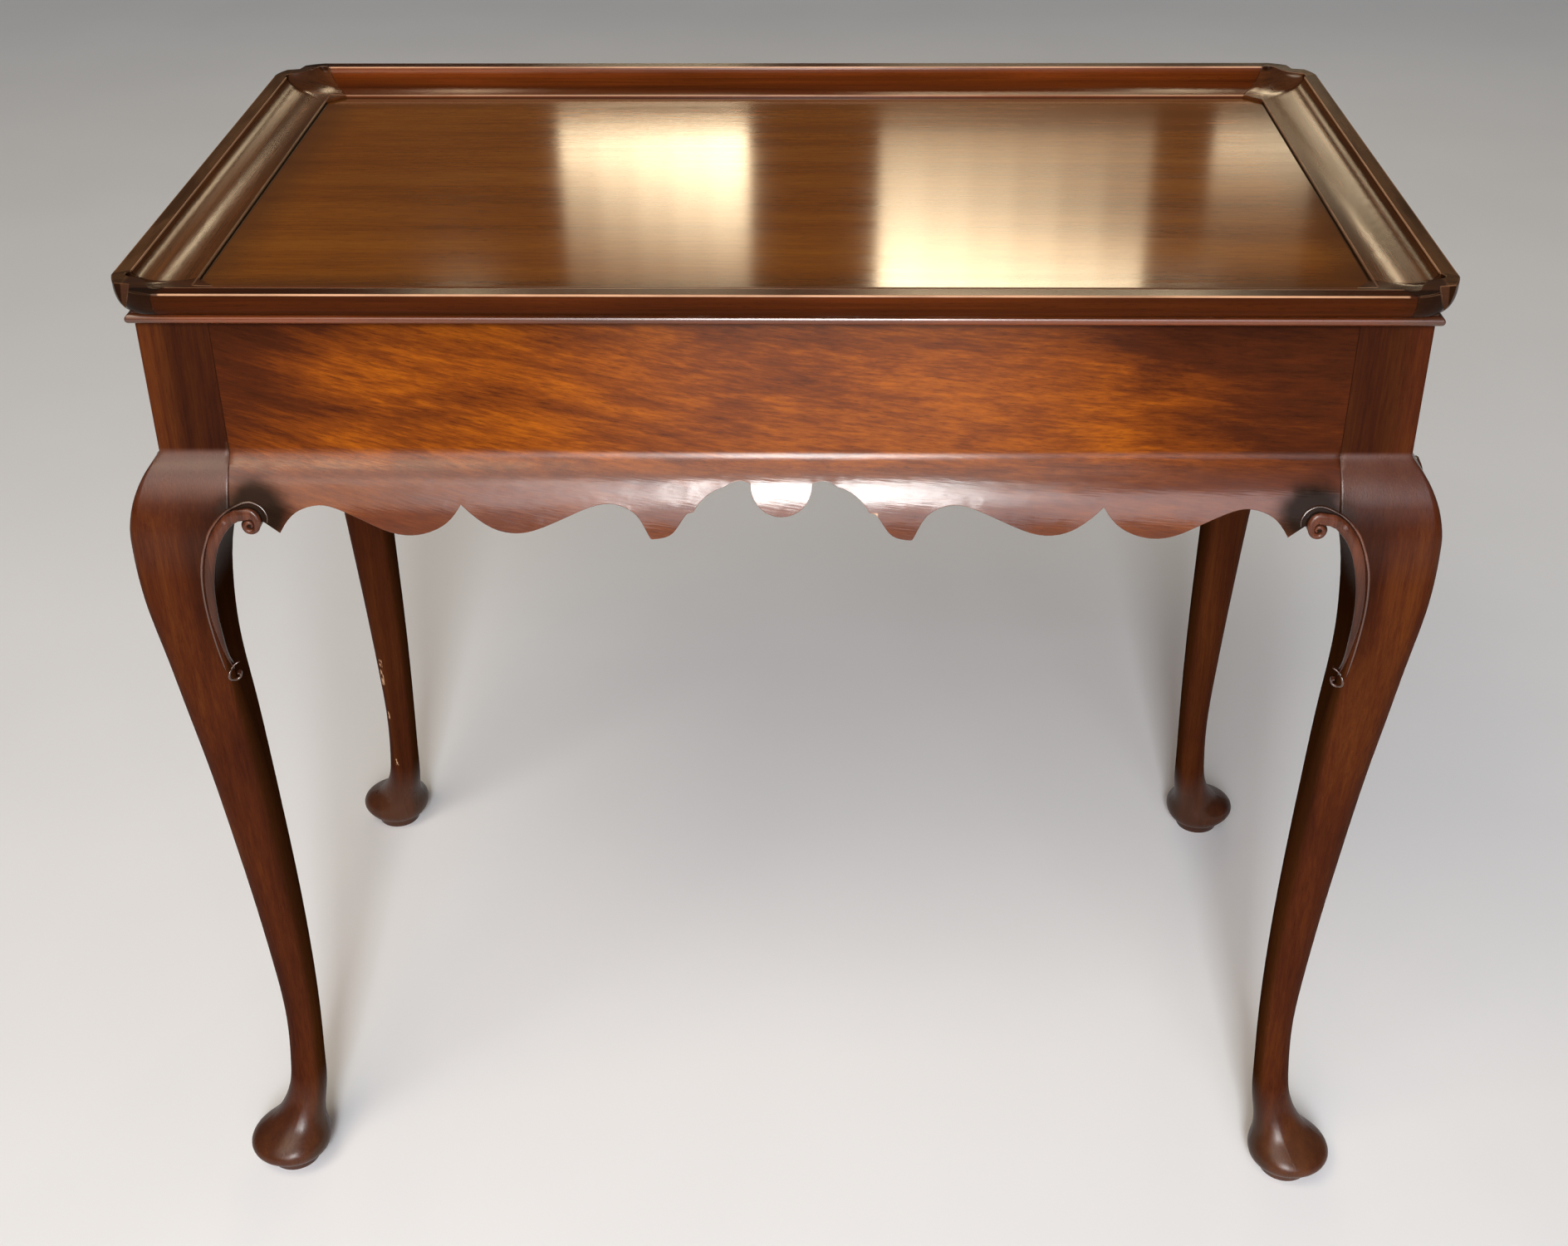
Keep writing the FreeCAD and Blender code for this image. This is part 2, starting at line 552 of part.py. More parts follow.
# ---- board -----------------------------------------------------------------------------------
def make_board():
    """Tray board with a rebate all round that the rim moulding laps over."""
    seat_x = HALF_FRIEZE_X - SEAT_EDGE
    seat_y = HALF_FRIEZE_Y - SEAT_EDGE
    base = box(-seat_x, seat_x, -seat_y, seat_y, BOARD_BOTTOM, RAIL_TOP)
    field_x = HALF_TRAY_X - RIM_WIDTH - JOINT_GAP
    field_y = HALF_TRAY_Y - RIM_WIDTH - JOINT_GAP
    cant = seam_along(RIM_WIDTH) - RIM_WIDTH + JOINT_GAP
    outline = [(field_x, field_y - cant), (field_x - cant, field_y), (cant - field_x, field_y),
               (-field_x, field_y - cant), (-field_x, cant - field_y), (cant - field_x, -field_y),
               (field_x - cant, -field_y), (field_x, cant - field_y)]
    field = plan_prism(outline, RAIL_TOP, BOARD_TOP)
    top_edges = [edge for edge in field.Edges
                 if all(abs(corner.Z - BOARD_TOP) < LEVEL_TOLERANCE for corner in edge.Vertexes)]
    field = field.makeChamfer(EDGE_EASE, top_edges)
    return base.fuse(field)


# ---- hidden frame ----------------------------------------------------------------------------
def make_corner_block():
    """Glue block behind a leg post, in frieze corner coordinates."""
    outline = [(LEG_POST, RAIL_THICKNESS), (BLOCK_REACH, RAIL_THICKNESS), (RAIL_THICKNESS, BLOCK_REACH),
               (RAIL_THICKNESS, LEG_POST), (LEG_POST, LEG_POST)]
    low = SHOULDER + TENON_SHOULDER
    block = plan_prism(outline, low, low + BLOCK_HEIGHT)
    return block.translated(vec(-HALF_FRIEZE_X, -HALF_FRIEZE_Y, 0))


def block_screws():
    """The two screws of a corner block and the pockets that their heads sit in."""
    middle = SHOULDER + TENON_SHOULDER + BLOCK_HEIGHT / 2
    head = RAIL_THICKNESS + BLOCK_SCREW_LENGTH - BLOCK_SCREW_BITE
    face = BLOCK_REACH + RAIL_THICKNESS - BLOCK_SCREW_STATION
    screws = []
    pockets = []
    for flip, level in ((False, middle - BLOCK_SCREW_STAGGER), (True, middle + BLOCK_SCREW_STAGGER)):
        piece = screw_outwards(BLOCK_SCREW_LENGTH, BLOCK_SCREW_STATION, head, level)
        pocket = Part.makeCylinder(SCREW_HEAD_RADIUS, face + BEYOND, vec(BLOCK_SCREW_STATION, head, level),
                                   vec(0, 1, 0))
        for body, group in ((piece, screws), (pocket, pockets)):
            if flip:
                body = body.mirror(vec(0, 0, 0), vec(1, -1, 0))
            group.append(body.translated(vec(-HALF_FRIEZE_X, -HALF_FRIEZE_Y, 0)))
    return screws, pockets


def make_ledger(half_frieze):
    """Strip inside a rail that the board is screwed to."""
    half_length = half_frieze - LEG_POST - LEDGER_END_GAP
    return box(-half_length, half_length, RAIL_THICKNESS, RAIL_THICKNESS + LEDGER_SIZE,
               BOARD_BOTTOM - LEDGER_SIZE, BOARD_BOTTOM)


def ledger_screws(half_frieze, count):
    """Screws through one ledger: into the rail, and up into the board."""
    half_span = half_frieze - LEG_POST - SIDE_SCREW_INSET
    stations = spread(half_span, count)
    inner_face = RAIL_THICKNESS + LEDGER_SIZE
    level = BOARD_BOTTOM - LEDGER_SIZE / 2
    sideways = [screw_outwards(LEDGER_SCREW_LENGTH, s, inner_face, level) for s in stations]
    upwards = [screw_upwards(BOARD_SCREW_LENGTH, s, inner_face - LEDGER_SIZE / 2, BOARD_BOTTOM - LEDGER_SIZE)
               for s in between(stations)]
    return Part.Compound(sideways), Part.Compound(upwards)


# ---- the whole table ---------------------------------------------------------------------------
def build():
    parts = {}
    legs = four_corners(make_leg())
    rails = four_sides(make_long_rail(), make_short_rail(), HALF_FRIEZE_Y, HALF_FRIEZE_X)
    beads = four_sides(make_bead(HALF_FRIEZE_X), make_bead(HALF_FRIEZE_Y), HALF_FRIEZE_Y, HALF_FRIEZE_X)
    rims = four_sides(make_rim(HALF_TRAY_X), make_rim(HALF_TRAY_Y), HALF_TRAY_Y, HALF_TRAY_X)
    rim_corners = four_corners(make_rim_corner())
    blocks = four_corners(make_corner_block())
    ledgers = four_sides(make_ledger(HALF_FRIEZE_X), make_ledger(HALF_FRIEZE_Y), HALF_FRIEZE_Y, HALF_FRIEZE_X)
    board = make_board()

    screws, pockets = block_screws()
    long_in, long_up = ledger_screws(HALF_FRIEZE_X, LONG_RAIL_SCREWS)
    short_in, short_up = ledger_screws(HALF_FRIEZE_Y, SHORT_RAIL_SCREWS)
    rail_screws = four_sides(long_in, short_in, HALF_FRIEZE_Y, HALF_FRIEZE_X)
    board_screws = four_sides(long_up, short_up, HALF_FRIEZE_Y, HALF_FRIEZE_X)
    corner_screws = four_corners(Part.Compound(screws))
    corner_pockets = four_corners(Part.Compound(pockets))

    for place, leg in legs.items():
        parts["leg_" + place] = leg
        parts["rim_corner_" + place] = rim_corners[place]
        blocks[place] = blocks[place].cut(corner_pockets[place].Solids).cut(corner_screws[place].Solids)
        parts["corner_block_" + place] = blocks[place]
    for side, rail in rails.items():
        near = [corner_screws[place].Solids for place in corner_screws if side in place.split("_")]
        driven = [piece for group in near for piece in group] + rail_screws[side].Solids
        parts["rail_" + side] = rail.cut(driven)
        parts["ledger_" + side] = ledgers[side].cut(rail_screws[side].Solids + board_screws[side].Solids)
        parts["bead_" + side] = beads[side]
        parts["rim_" + side] = rims[side]
        board = board.cut(board_screws[side].Solids)
    parts["tray_board"] = board
    for name, group in (("corner_block_screws", corner_screws), ("ledger_screws", rail_screws),
                        ("board_screws", board_screws)):
        parts[name] = Part.Compound([solid for shape in group.values() for solid in shape.Solids])
    return parts


def main():
    os.makedirs("parts", exist_ok=True)
    for name, shape in sorted(build().items()):
        solids = shape.Solids
        piece = solids[0] if len(solids) == 1 else Part.Compound(solids)
        print("%-28s solids %2d valid %s volume %.0f" % (name, len(solids), piece.isValid(), piece.Volume))
        piece.exportStep("parts/%s.step" % name)


main()
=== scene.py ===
import math

import bmesh
import bpy
from mathutils import Matrix, Vector
from mathutils.bvhtree import BVHTree


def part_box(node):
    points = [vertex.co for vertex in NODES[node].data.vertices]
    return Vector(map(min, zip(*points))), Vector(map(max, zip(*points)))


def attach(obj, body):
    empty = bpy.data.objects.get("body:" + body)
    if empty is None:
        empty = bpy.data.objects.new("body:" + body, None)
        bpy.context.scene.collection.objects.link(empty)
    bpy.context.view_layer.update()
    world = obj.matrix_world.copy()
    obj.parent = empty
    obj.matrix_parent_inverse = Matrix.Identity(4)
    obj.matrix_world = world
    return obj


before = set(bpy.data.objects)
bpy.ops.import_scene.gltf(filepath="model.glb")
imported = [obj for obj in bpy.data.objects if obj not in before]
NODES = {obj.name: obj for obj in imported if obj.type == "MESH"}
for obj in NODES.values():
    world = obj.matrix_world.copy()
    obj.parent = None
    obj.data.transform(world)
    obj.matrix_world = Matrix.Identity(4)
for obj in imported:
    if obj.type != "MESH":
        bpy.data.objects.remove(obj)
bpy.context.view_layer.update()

# Tray top tea table: finish, carving, light and camera. Metres, +Z up, -Y is the front.
CORNERS = ("front_left", "front_right", "back_left", "back_right")
SIDES = ("front", "back", "left", "right")
MM = 0.001

# ---- places on the table ------------------------------------------------------------------------
BEAD_PROJECTION = 4 * MM
LEG_POST = 41.5 * MM                                   # frieze corner to the seam between leg and rail
FRIEZE_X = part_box("bead_front")[1].x - BEAD_PROJECTION     # half length of the frieze
FRIEZE_Y = -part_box("bead_front")[0].y - BEAD_PROJECTION    # half depth of the frieze
RAIL_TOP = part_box("bead_front")[1].z
RIM_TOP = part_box("rim_front")[1].z
BOARD_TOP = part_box("tray_board")[1].z
FRIEZE_HEIGHT = 89 * MM
SHOULDER = RAIL_TOP - FRIEZE_HEIGHT                    # the frieze ends here and the flare starts
BEAD_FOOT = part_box("bead_front")[0].z
TRAY_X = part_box("rim_right")[1].x                      # half length of the tray
TRAY_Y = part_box("rim_back")[1].y                       # half depth of the tray
LIP_WIDTH = 10 * MM
RIM_WIDTH = 41.5 * MM                                  # outer edge of the rim to the board
SEAM_SLOPE = 0.55                                      # sideways run of a corner seam for its run inwards
SEAM_START = 30.5 * MM                                 # where that seam meets the tray's edge
CORNER_PIECE = 36 * MM                                 # the straight lip ends this far from the corner
VOLUTE_IN = 53.5 * MM                                  # eye of the volute from the frieze corner
VOLUTE_HEIGHT = SHOULDER - 38 * MM


# ---- shader maths -------------------------------------------------------------------------------
class Value:
    """A shader socket that can be used in ordinary arithmetic."""

    def __init__(self, paint, socket):
        self.paint = paint
        self.socket = socket

    def __add__(self, other):
        return self.paint.maths("ADD", self, other)

    def __sub__(self, other):
        return self.paint.maths("SUBTRACT", self, other)

    def __rsub__(self, other):
        return self.paint.maths("SUBTRACT", other, self)

    def __mul__(self, other):
        return self.paint.maths("MULTIPLY", self, other)

    def __abs__(self):
        return self.paint.maths("ABSOLUTE", self, 0.0)

    __radd__ = __add__
    __rmul__ = __mul__


class Paint:
    """One finish: a material whose nodes are added by the methods below."""

    def __init__(self, name):
        self.material = bpy.data.materials.new(name)
        self.material.use_nodes = True
        self.tree = self.material.node_tree
        self.tree.nodes.clear()

    def node(self, kind, settings=None, sockets=None, output=0):
        """Adds one node, its settings first and its sockets after them, and returns one output."""
        node = self.tree.nodes.new(kind)
        for name, value in (settings or {}).items():
            if name == "stops":
                self.set_stops(node.color_ramp, value)
            else:
                setattr(node, name, value)
        for name, value in (sockets or {}).items():
            if isinstance(value, Value):
                self.tree.links.new(value.socket, node.inputs[name])
            else:
                node.inputs[name].default_value = value
        return Value(self, node.outputs[output]) if len(node.outputs) else None

    def set_stops(self, ramp, stops):
        while len(ramp.elements) < len(stops):
            ramp.elements.new(1.0)
        for element, (place, colour) in zip(ramp.elements, stops):
            element.position = place
            element.color = (*colour, 1.0)

    def maths(self, operation, first, second):
        return self.node("ShaderNodeMath", {"operation": operation}, {0: first, 1: second})

    def most(self, first, *others):
        """The largest of some values."""
        for other in others:
            first = self.maths("MAXIMUM", first, other)
        return first

    def smooth(self, value, low, high):
        """0 below low and 1 above high, with a soft change between them."""
        return self.node("ShaderNodeMapRange", {"interpolation_type": "SMOOTHSTEP"},
                         {"Value": value, "From Min": low, "From Max": high})

    def near(self, value, middle, half, soft):
        """1 within half of the middle, falling to 0 over soft."""
        return 1.0 - self.smooth(abs(value - middle), half, half + soft)

    def place(self):
        """Object position as three values."""
        position = self.node("ShaderNodeTexCoord", output="Object")
        return [self.node("ShaderNodeSeparateXYZ", sockets={0: position}, output=axis) for axis in range(3)]

    def vector(self, x, y, z):
        return self.node("ShaderNodeCombineXYZ", sockets={0: x, 1: y, 2: z})

    def noise(self, vector, along=1.0, across=1.0, detail=2.0, distortion=0.0, rough=0.5):
        """Noise from 0 to 1, with its own number of ripples a metre along and across the grain."""
        scaled = self.node("ShaderNodeMapping", {}, {"Vector": vector, "Scale": (along, across, across)})
        return self.node("ShaderNodeTexNoise", {},
                         {"Vector": scaled, "Scale": 1.0, "Detail": detail, "Roughness": rough,
                          "Distortion": distortion})

    def ramp(self, value, stops):
        return self.node("ShaderNodeValToRGB", {"stops": stops}, {0: value})

    def mix(self, share, first, second):
        """Colour that goes from first to second."""
        return self.node("ShaderNodeMix", {"data_type": "RGBA"}, {0: share, 6: first, 7: second}, output=2)

    def shade(self, colour, amount):
        """Colour times a grey amount."""
        grey = self.vector(amount, amount, amount)
        return self.node("ShaderNodeMix", {"data_type": "RGBA", "blend_type": "MULTIPLY"},
                         {0: 1.0, 6: colour, 7: grey}, output=2)

    def inwards(self, place, axis):
        """1 on faces that look towards the middle of the table along one axis."""
        normal = self.node("ShaderNodeNewGeometry", output="Normal")
        part = self.node("ShaderNodeSeparateXYZ", sockets={0: normal}, output=axis)
        return self.smooth(-1.0 * part * self.maths("SIGN", place, 0.0), 0.50, 0.85)

    def rounded(self, radius):
        """Normal with the arrises rounded."""
        return self.node("ShaderNodeBevel", {"samples": 4}, {"Radius": radius})

    def arris(self, rounded, low, high):
        """1 along the arrises and 0 on the faces between them."""
        face = self.node("ShaderNodeNewGeometry", output="Normal")
        likeness = self.node("ShaderNodeVectorMath", {"operation": "DOT_PRODUCT"}, {0: rounded, 1: face},
                             output="Value")
        return self.smooth(1.0 - likeness, low, high)

    def blend(self, share, first, second):
        """Direction that goes from first to second."""
        return self.node("ShaderNodeMix", {"data_type": "VECTOR"}, {0: share, 4: first, 5: second},
                         output=1)

    def finish(self, colour, roughness, height, depth, rounded=None, specular=0.2, polished=None,
               gloss=0.6):
        """Closes the material. Polished is 1 where the surface is rubbed to its full gloss."""
        normal = {"Normal": rounded} if rounded else {}
        bump = self.node("ShaderNodeBump", {},
                         {"Strength": 1.0, "Distance": depth, "Height": height, **normal})
        same = {"Base Color": colour, "Roughness": roughness, "Normal": bump, "Specular Tint": LACQUER}
        surface = self.node("ShaderNodeBsdfPrincipled", {}, {"Specular IOR Level": specular, **same})
        if polished:
            glossy = self.node("ShaderNodeBsdfPrincipled", {}, {"Specular IOR Level": gloss, **same})
            surface = self.node("ShaderNodeMixShader", {}, {0: polished, 1: surface, 2: glossy})
        self.node("ShaderNodeOutputMaterial", {}, {"Surface": surface})
        return self.material


# ---- finishes -----------------------------------------------------------------------------------
LACQUER = (1.0, 0.94, 0.88, 1.0)             # tint of the reflections
DULL = 0.03                                  # specular level where the lacquer isn't rubbed
PORE = (0.010, 0.004, 0.002, 1.0)
WORN = (0.50, 0.27, 0.15, 1.0)
BARE = (0.55, 0.33, 0.19, 1.0)
# painted shadow for the narrow gaps between parts
GAP_SHADOW = (0.014, 0.007, 0.004, 1.0)
TONER = (0.008, 0.005, 0.003, 1.0)
DUST = (0.110, 0.065, 0.040, 1.0)
BOARD_EDGE_SHADE = (0.045, 0.018, 0.007, 1.0)      # painted shade on the board beside the rim
FLARE_BROWN = (0.068, 0.023, 0.015, 1.0)     # flare of the rails and legs
INNER_SHADE = (0.022, 0.0085, 0.0025, 1.0)   # painted shade on the leg faces that look inwards
CORNER_SHADE = (0.026, 0.013, 0.008, 1.0)    # painted shade on the rim towards the corners of the tray
LIP_TAN = (0.200, 0.095, 0.040, 1.0)         # flat lip of the end rims


class Wood(Paint):
    """Stained and lacquered mahogany. The grain runs along one axis of the table."""

    def __init__(self, name, along, seed):
        super().__init__(name)
        self.x, self.y, self.z = self.place()
        ways = {"X": (self.x, self.y, self.z), "Y": (self.y, self.x, self.z), "Z": (self.z, self.x, self.y)}
        length, first, second = ways[along]
        self.space = self.vector(length + seed, first + seed * 0.7, second - seed * 0.4)
        self.length = length

    def bend(self, amount, along=2.5, across=9.0):
        """Lets the grain wander sideways in long slow waves."""
        wander = (self.noise(self.space, along, across, detail=1.0) - 0.5) * amount
        side = self.vector(0.0, wander, wander)
        self.space = self.node("ShaderNodeVectorMath", {"operation": "ADD"}, {0: self.space, 1: side})

    def lean(self, rise):
        """Lets the grain rise or fall across the face by the given height."""
        side = self.vector(0.0, 0.0, rise)
        self.space = self.node("ShaderNodeVectorMath", {"operation": "ADD"}, {0: self.space, 1: side})

    def fibres(self):
        return self.noise(self.space, 14.0, 1100.0, detail=2.0)

    def pores(self):
        """Short dark dashes of the open grain."""
        return self.smooth(self.noise(self.space, 130.0, 2600.0, detail=1.0), 0.60, 0.72)


def both_ways(wood, half_x, half_y):
    """(place, half size, other place, other half size) along X and then along Y."""
    return (wood.x, half_x, wood.y, half_y), (wood.y, half_y, wood.x, half_x)


def volute_toner(wood):
    """Dark shading around the eight volutes, 1 where it is darkest."""
    wander = (wood.noise(wood.space, 60.0, 60.0, detail=2.0) - 0.5) * (10 * MM)
    drop = wood.z - (VOLUTE_HEIGHT + 8 * MM)
    masks = []
    for side, half, other, other_half in both_ways(wood, FRIEZE_X, FRIEZE_Y):
        across = abs(side) - (half - VOLUTE_IN - 3 * MM)
        distance = wood.maths("SQRT", across * across * 0.5 + drop * drop * 0.8, 0.0) + wander
        face = wood.smooth(abs(other), other_half - 1 * MM, other_half + 2 * MM)
        masks.append((1.0 - wood.smooth(distance, 9 * MM, 21 * MM)) * face)
    return wood.most(*masks)


def make_board_finish():
    """Straight-grained dark board under a glossy, rubbed lacquer."""
    wood = Wood("mahogany_board", "X", 3.1)
    wood.bend(0.02)
    stripes = wood.noise(wood.space, 1.1, 26.0, detail=3.0, rough=0.6)
    clouds = wood.noise(wood.space, 4.0, 9.0, detail=2.0)
    fibres = wood.fibres()
    fleck = wood.noise(wood.space, 40.0, 500.0, detail=2.0)
    tone = stripes * 0.45 + clouds * 0.25 + fibres * 0.20 + fleck * 0.20
    colour = wood.ramp(tone, [(0.40, (0.120, 0.033, 0.003)), (0.54, (0.185, 0.052, 0.004)),
                              (0.68, (0.260, 0.084, 0.007))])
    # painted shade on the board along the raised rim
    edge_x = wood.smooth(abs(wood.x), TRAY_X - RIM_WIDTH - 35 * MM, TRAY_X - RIM_WIDTH)
    edge_y = wood.smooth(abs(wood.y), TRAY_Y - RIM_WIDTH - 30 * MM, TRAY_Y - RIM_WIDTH)
    colour = wood.mix(wood.most(edge_x, edge_y) * 0.50, colour, BOARD_EDGE_SHADE)
    colour = wood.mix(wood.pores() * 0.35, colour, PORE)
    # painted shadow in the gap where the board meets the rim
    joint_x = wood.smooth(abs(wood.x), TRAY_X - RIM_WIDTH - 2.0 * MM, TRAY_X - RIM_WIDTH - 1.0 * MM)
    joint_y = wood.smooth(abs(wood.y), TRAY_Y - RIM_WIDTH - 2.0 * MM, TRAY_Y - RIM_WIDTH - 1.0 * MM)
    colour = wood.mix(wood.most(joint_x, joint_y) * 0.8, colour, GAP_SHADOW)
    rubbed = wood.noise(wood.space, 3.0, 160.0, detail=3.0)
    roughness = 0.055 + rubbed * 0.05 + clouds * 0.02
    return wood.finish(colour, roughness, fibres, 0.005 * MM, wood.rounded(0.3 * MM), specular=0.5)


CHIP_X = 53.7 * MM           # chip in the edge of the front skirt
CHIP_HEIGHT = 543.5 * MM


def make_frieze_finish(name, along, seed, figured, chipped=False):
    """Frieze and skirt of one rail. Figured is the (start, end) of the flame figure along the rail."""
    wood = Wood(name, along, seed)
    half = FRIEZE_X if along == "X" else FRIEZE_Y
    start, end = figured
    wood.bend(0.014, 4.0, 14.0)
    left = (half - wood.length) * (0.5 / half)
    wood.lean(wood.length * 0.05 - left * left * left * (0.22 * half))
    streak = wood.noise(wood.space, 26.0, 200.0, detail=4.0, distortion=0.5, rough=0.6)
    grain = wood.noise(wood.space, 75.0, 620.0, detail=3.0, rough=0.7)
    blotch = wood.noise(wood.space, 9.0, 34.0, detail=4.0, distortion=1.2, rough=0.55)
    fibres = wood.noise(wood.space, 60.0, 900.0, detail=2.0)
    # the figure starts at one end of the rail, fades upwards and ends low at the other
    rise = wood.z - SHOULDER
    wander = (wood.noise(wood.space, 5.0, 22.0, detail=3.0) - 0.5) * 0.20
    glow = wood.smooth(wood.length - rise * 0.5 - wander, start, start + 0.08) \
        * (1.0 - wood.smooth(wood.length + rise * 1.6 + wander, end - 0.11, end))
    figure = (streak - 0.5) * 0.40 + (grain - 0.5) * 0.45 + (blotch - 0.5) * 0.55
    tone = 0.25 + glow * 0.26 + figure * (0.50 + glow * 0.45)
    colour = wood.ramp(tone, [(0.12, (0.018, 0.005, 0.002)), (0.30, (0.056, 0.012, 0.003)),
                              (0.48, (0.135, 0.030, 0.0035)), (0.68, (0.270, 0.068, 0.004))])
    colour = wood.mix(wood.pores() * 0.45, colour, PORE)
    # painted shade on the frieze under the overhanging rim, and a painted shadow just under the bead
    top = wood.smooth(wood.z, BEAD_FOOT - 26 * MM, BEAD_FOOT)
    shadow = wood.smooth(wood.z, BEAD_FOOT - 3.5 * MM, BEAD_FOOT - 0.5 * MM)
    colour = wood.shade(colour, 1.0 - top * 0.22 - shadow * 0.45)
    skirt = 1.0 - wood.smooth(wood.z, SHOULDER - 14 * MM, SHOULDER)
    colour = wood.mix(skirt * 0.65, colour, FLARE_BROWN)
    toner = volute_toner(wood)
    colour = wood.mix(toner * 0.95, colour, TONER)
    seam = wood.near(abs(wood.length), half - LEG_POST, 0.10 * MM, 0.30 * MM)
    colour = wood.mix(seam * 0.5, colour, PORE)
    hollow = wood.near(wood.z, SHOULDER, 4.5 * MM, 3.0 * MM)
    rounded = wood.blend(hollow, wood.rounded(0.5 * MM), wood.rounded(4.5 * MM))
    worn = wood.arris(rounded, 0.03, 0.30) * wood.smooth(wood.noise(wood.space, 30.0, 60.0), 0.40, 0.62)
    low = 1.0 - wood.smooth(wood.z, SHOULDER - 12 * MM, SHOULDER - 8 * MM)
    colour = wood.mix(worn * low * 0.55, colour, WORN)
    if chipped:
        chip = wood.near(wood.x, CHIP_X, 1.6 * MM, 1.2 * MM) \
            * wood.near(wood.z, CHIP_HEIGHT, 1.8 * MM, 1.2 * MM)
        colour = wood.mix(chip, colour, BARE)
    flare = 1.0 - wood.smooth(wood.z, SHOULDER - 1 * MM, SHOULDER + 3 * MM)
    middle = 1.0 - wood.smooth(abs(wood.length - 0.03), 0.04, 0.20)
    polished = wood.most(flare * (1.0 - toner * 0.92), middle * 0.65)
    roughness = 0.30 + wood.noise(wood.space, 8.0, 90.0, detail=2.0) * 0.14 - flare * 0.20
    return wood.finish(colour, roughness, fibres, 0.05 * MM, rounded, DULL, polished, gloss=0.45)


# small scuffs on the legs: (x, 1 for a back leg or -1 for a front one, low, high, half width)
SCUFFS = [(-353 * MM, 1.0, 160 * MM, 184 * MM, 1.1 * MM), (-352 * MM, 1.0, 125 * MM, 130 * MM, 0.7 * MM),
          (-350 * MM, 1.0, 76 * MM, 80 * MM, 1.0 * MM), (307.4 * MM, -1.0, 562 * MM, 564 * MM, 0.6 * MM)]


def make_leg_finish():
    """Deep red-brown legs with upright grain and painted shade on the faces that turn inwards, darker
    towards the inside at the knee and worn at the foot.
    """
    wood = Wood("mahogany_legs", "Z", 7.7)
    wood.bend(0.012, 3.0, 14.0)
    stripes = wood.noise(wood.space, 2.2, 110.0, detail=3.0, rough=0.6)
    clouds = wood.noise(wood.space, 6.0, 22.0, detail=2.0)
    fibres = wood.fibres()
    grain = wood.noise(wood.space, 60.0, 600.0, detail=3.0)
    tone = stripes * 0.35 + clouds * 0.40 + fibres * 0.15 + grain * 0.20
    colour = wood.ramp(tone, [(0.40, (0.028, 0.0056, 0.0020)), (0.55, (0.051, 0.0110, 0.0029)),
                              (0.70, (0.080, 0.0205, 0.0040))])
    flare = wood.smooth(wood.z, SHOULDER - 34 * MM, SHOULDER - 14 * MM) \
        * (1.0 - wood.smooth(wood.z, SHOULDER - 1 * MM, SHOULDER + 3 * MM))
    colour = wood.mix(flare * 0.5, colour, FLARE_BROWN)
    below = 1.0 - wood.smooth(wood.z, SHOULDER - 40 * MM, SHOULDER - 26 * MM)
    # painted shade on the leg faces that look inwards, from the knee down
    inner = wood.most(wood.inwards(wood.x, 0), wood.inwards(wood.y, 1) * 0.25) * below
    colour = wood.mix(inner * 0.70, colour, INNER_SHADE)
    beside = wood.smooth(-1.0 * abs(wood.x), -FRIEZE_X + 2 * MM, -FRIEZE_X + 20 * MM) \
        * wood.smooth(wood.z, SHOULDER - 170 * MM, SHOULDER - 90 * MM) * (1.0 - flare)
    colour = wood.shade(colour, 1.0 - beside * 0.42)
    colour = wood.mix(wood.pores() * 0.4, colour, PORE)
    toner = volute_toner(wood)
    colour = wood.mix(toner * 0.93, colour, TONER)
    shadow = wood.smooth(wood.z, BEAD_FOOT - 3.5 * MM, BEAD_FOOT - 0.5 * MM)
    colour = wood.shade(colour, 1.0 - shadow * 0.45)
    for side, half in ((wood.x, FRIEZE_X), (wood.y, FRIEZE_Y)):
        seam = wood.near(abs(side), half - LEG_POST, 0.10 * MM, 0.30 * MM)
        colour = wood.mix(seam * 0.5, colour, PORE)
    hollow = wood.near(wood.z, SHOULDER, 4.5 * MM, 3.0 * MM)
    rounded = wood.blend(hollow, wood.rounded(0.8 * MM), wood.rounded(4.5 * MM))
    patches = wood.smooth(wood.noise(wood.space, 40.0, 60.0, detail=3.0), 0.42, 0.60)
    foot = 1.0 - wood.smooth(wood.z, 14 * MM, 20 * MM)
    worn = wood.arris(rounded, 0.03, 0.25) * (0.20 + foot * 0.80) * patches
    colour = wood.mix(worn * 0.75, colour, WORN)
    broken = wood.smooth(wood.noise(wood.space, 160.0, 500.0, detail=2.0), 0.46, 0.54)
    for x, back, low, high, half in SCUFFS:
        height = wood.near(wood.z, (low + high) / 2, (high - low) / 2, 2 * MM)
        spot = wood.near(wood.x, x, half, 0.6 * MM) * wood.smooth(wood.y * back, 0.0, 1 * MM) * height
        colour = wood.mix(spot * broken * 0.8, colour, BARE)
    dusty = 1.0 - wood.smooth(wood.z, 30 * MM, 60 * MM)
    colour = wood.mix(dusty * clouds * 0.25, colour, DUST)
    pad = 1.0 - wood.smooth(wood.z, 45 * MM, 80 * MM)
    knee = wood.smooth(wood.z, SHOULDER - 90 * MM, SHOULDER - 50 * MM) \
        * (1.0 - wood.smooth(wood.z, SHOULDER - 12 * MM, SHOULDER)) * 0.30
    polished = wood.most(flare * (1.0 - toner * 0.92), pad * 0.6, knee, 0.10 * (1.0 - inner))
    roughness = 0.22 + wood.noise(wood.space, 20.0, 60.0, detail=2.0) * 0.14
    return wood.finish(colour, roughness, fibres, 0.04 * MM, rounded, 0.0, polished, gloss=0.45)


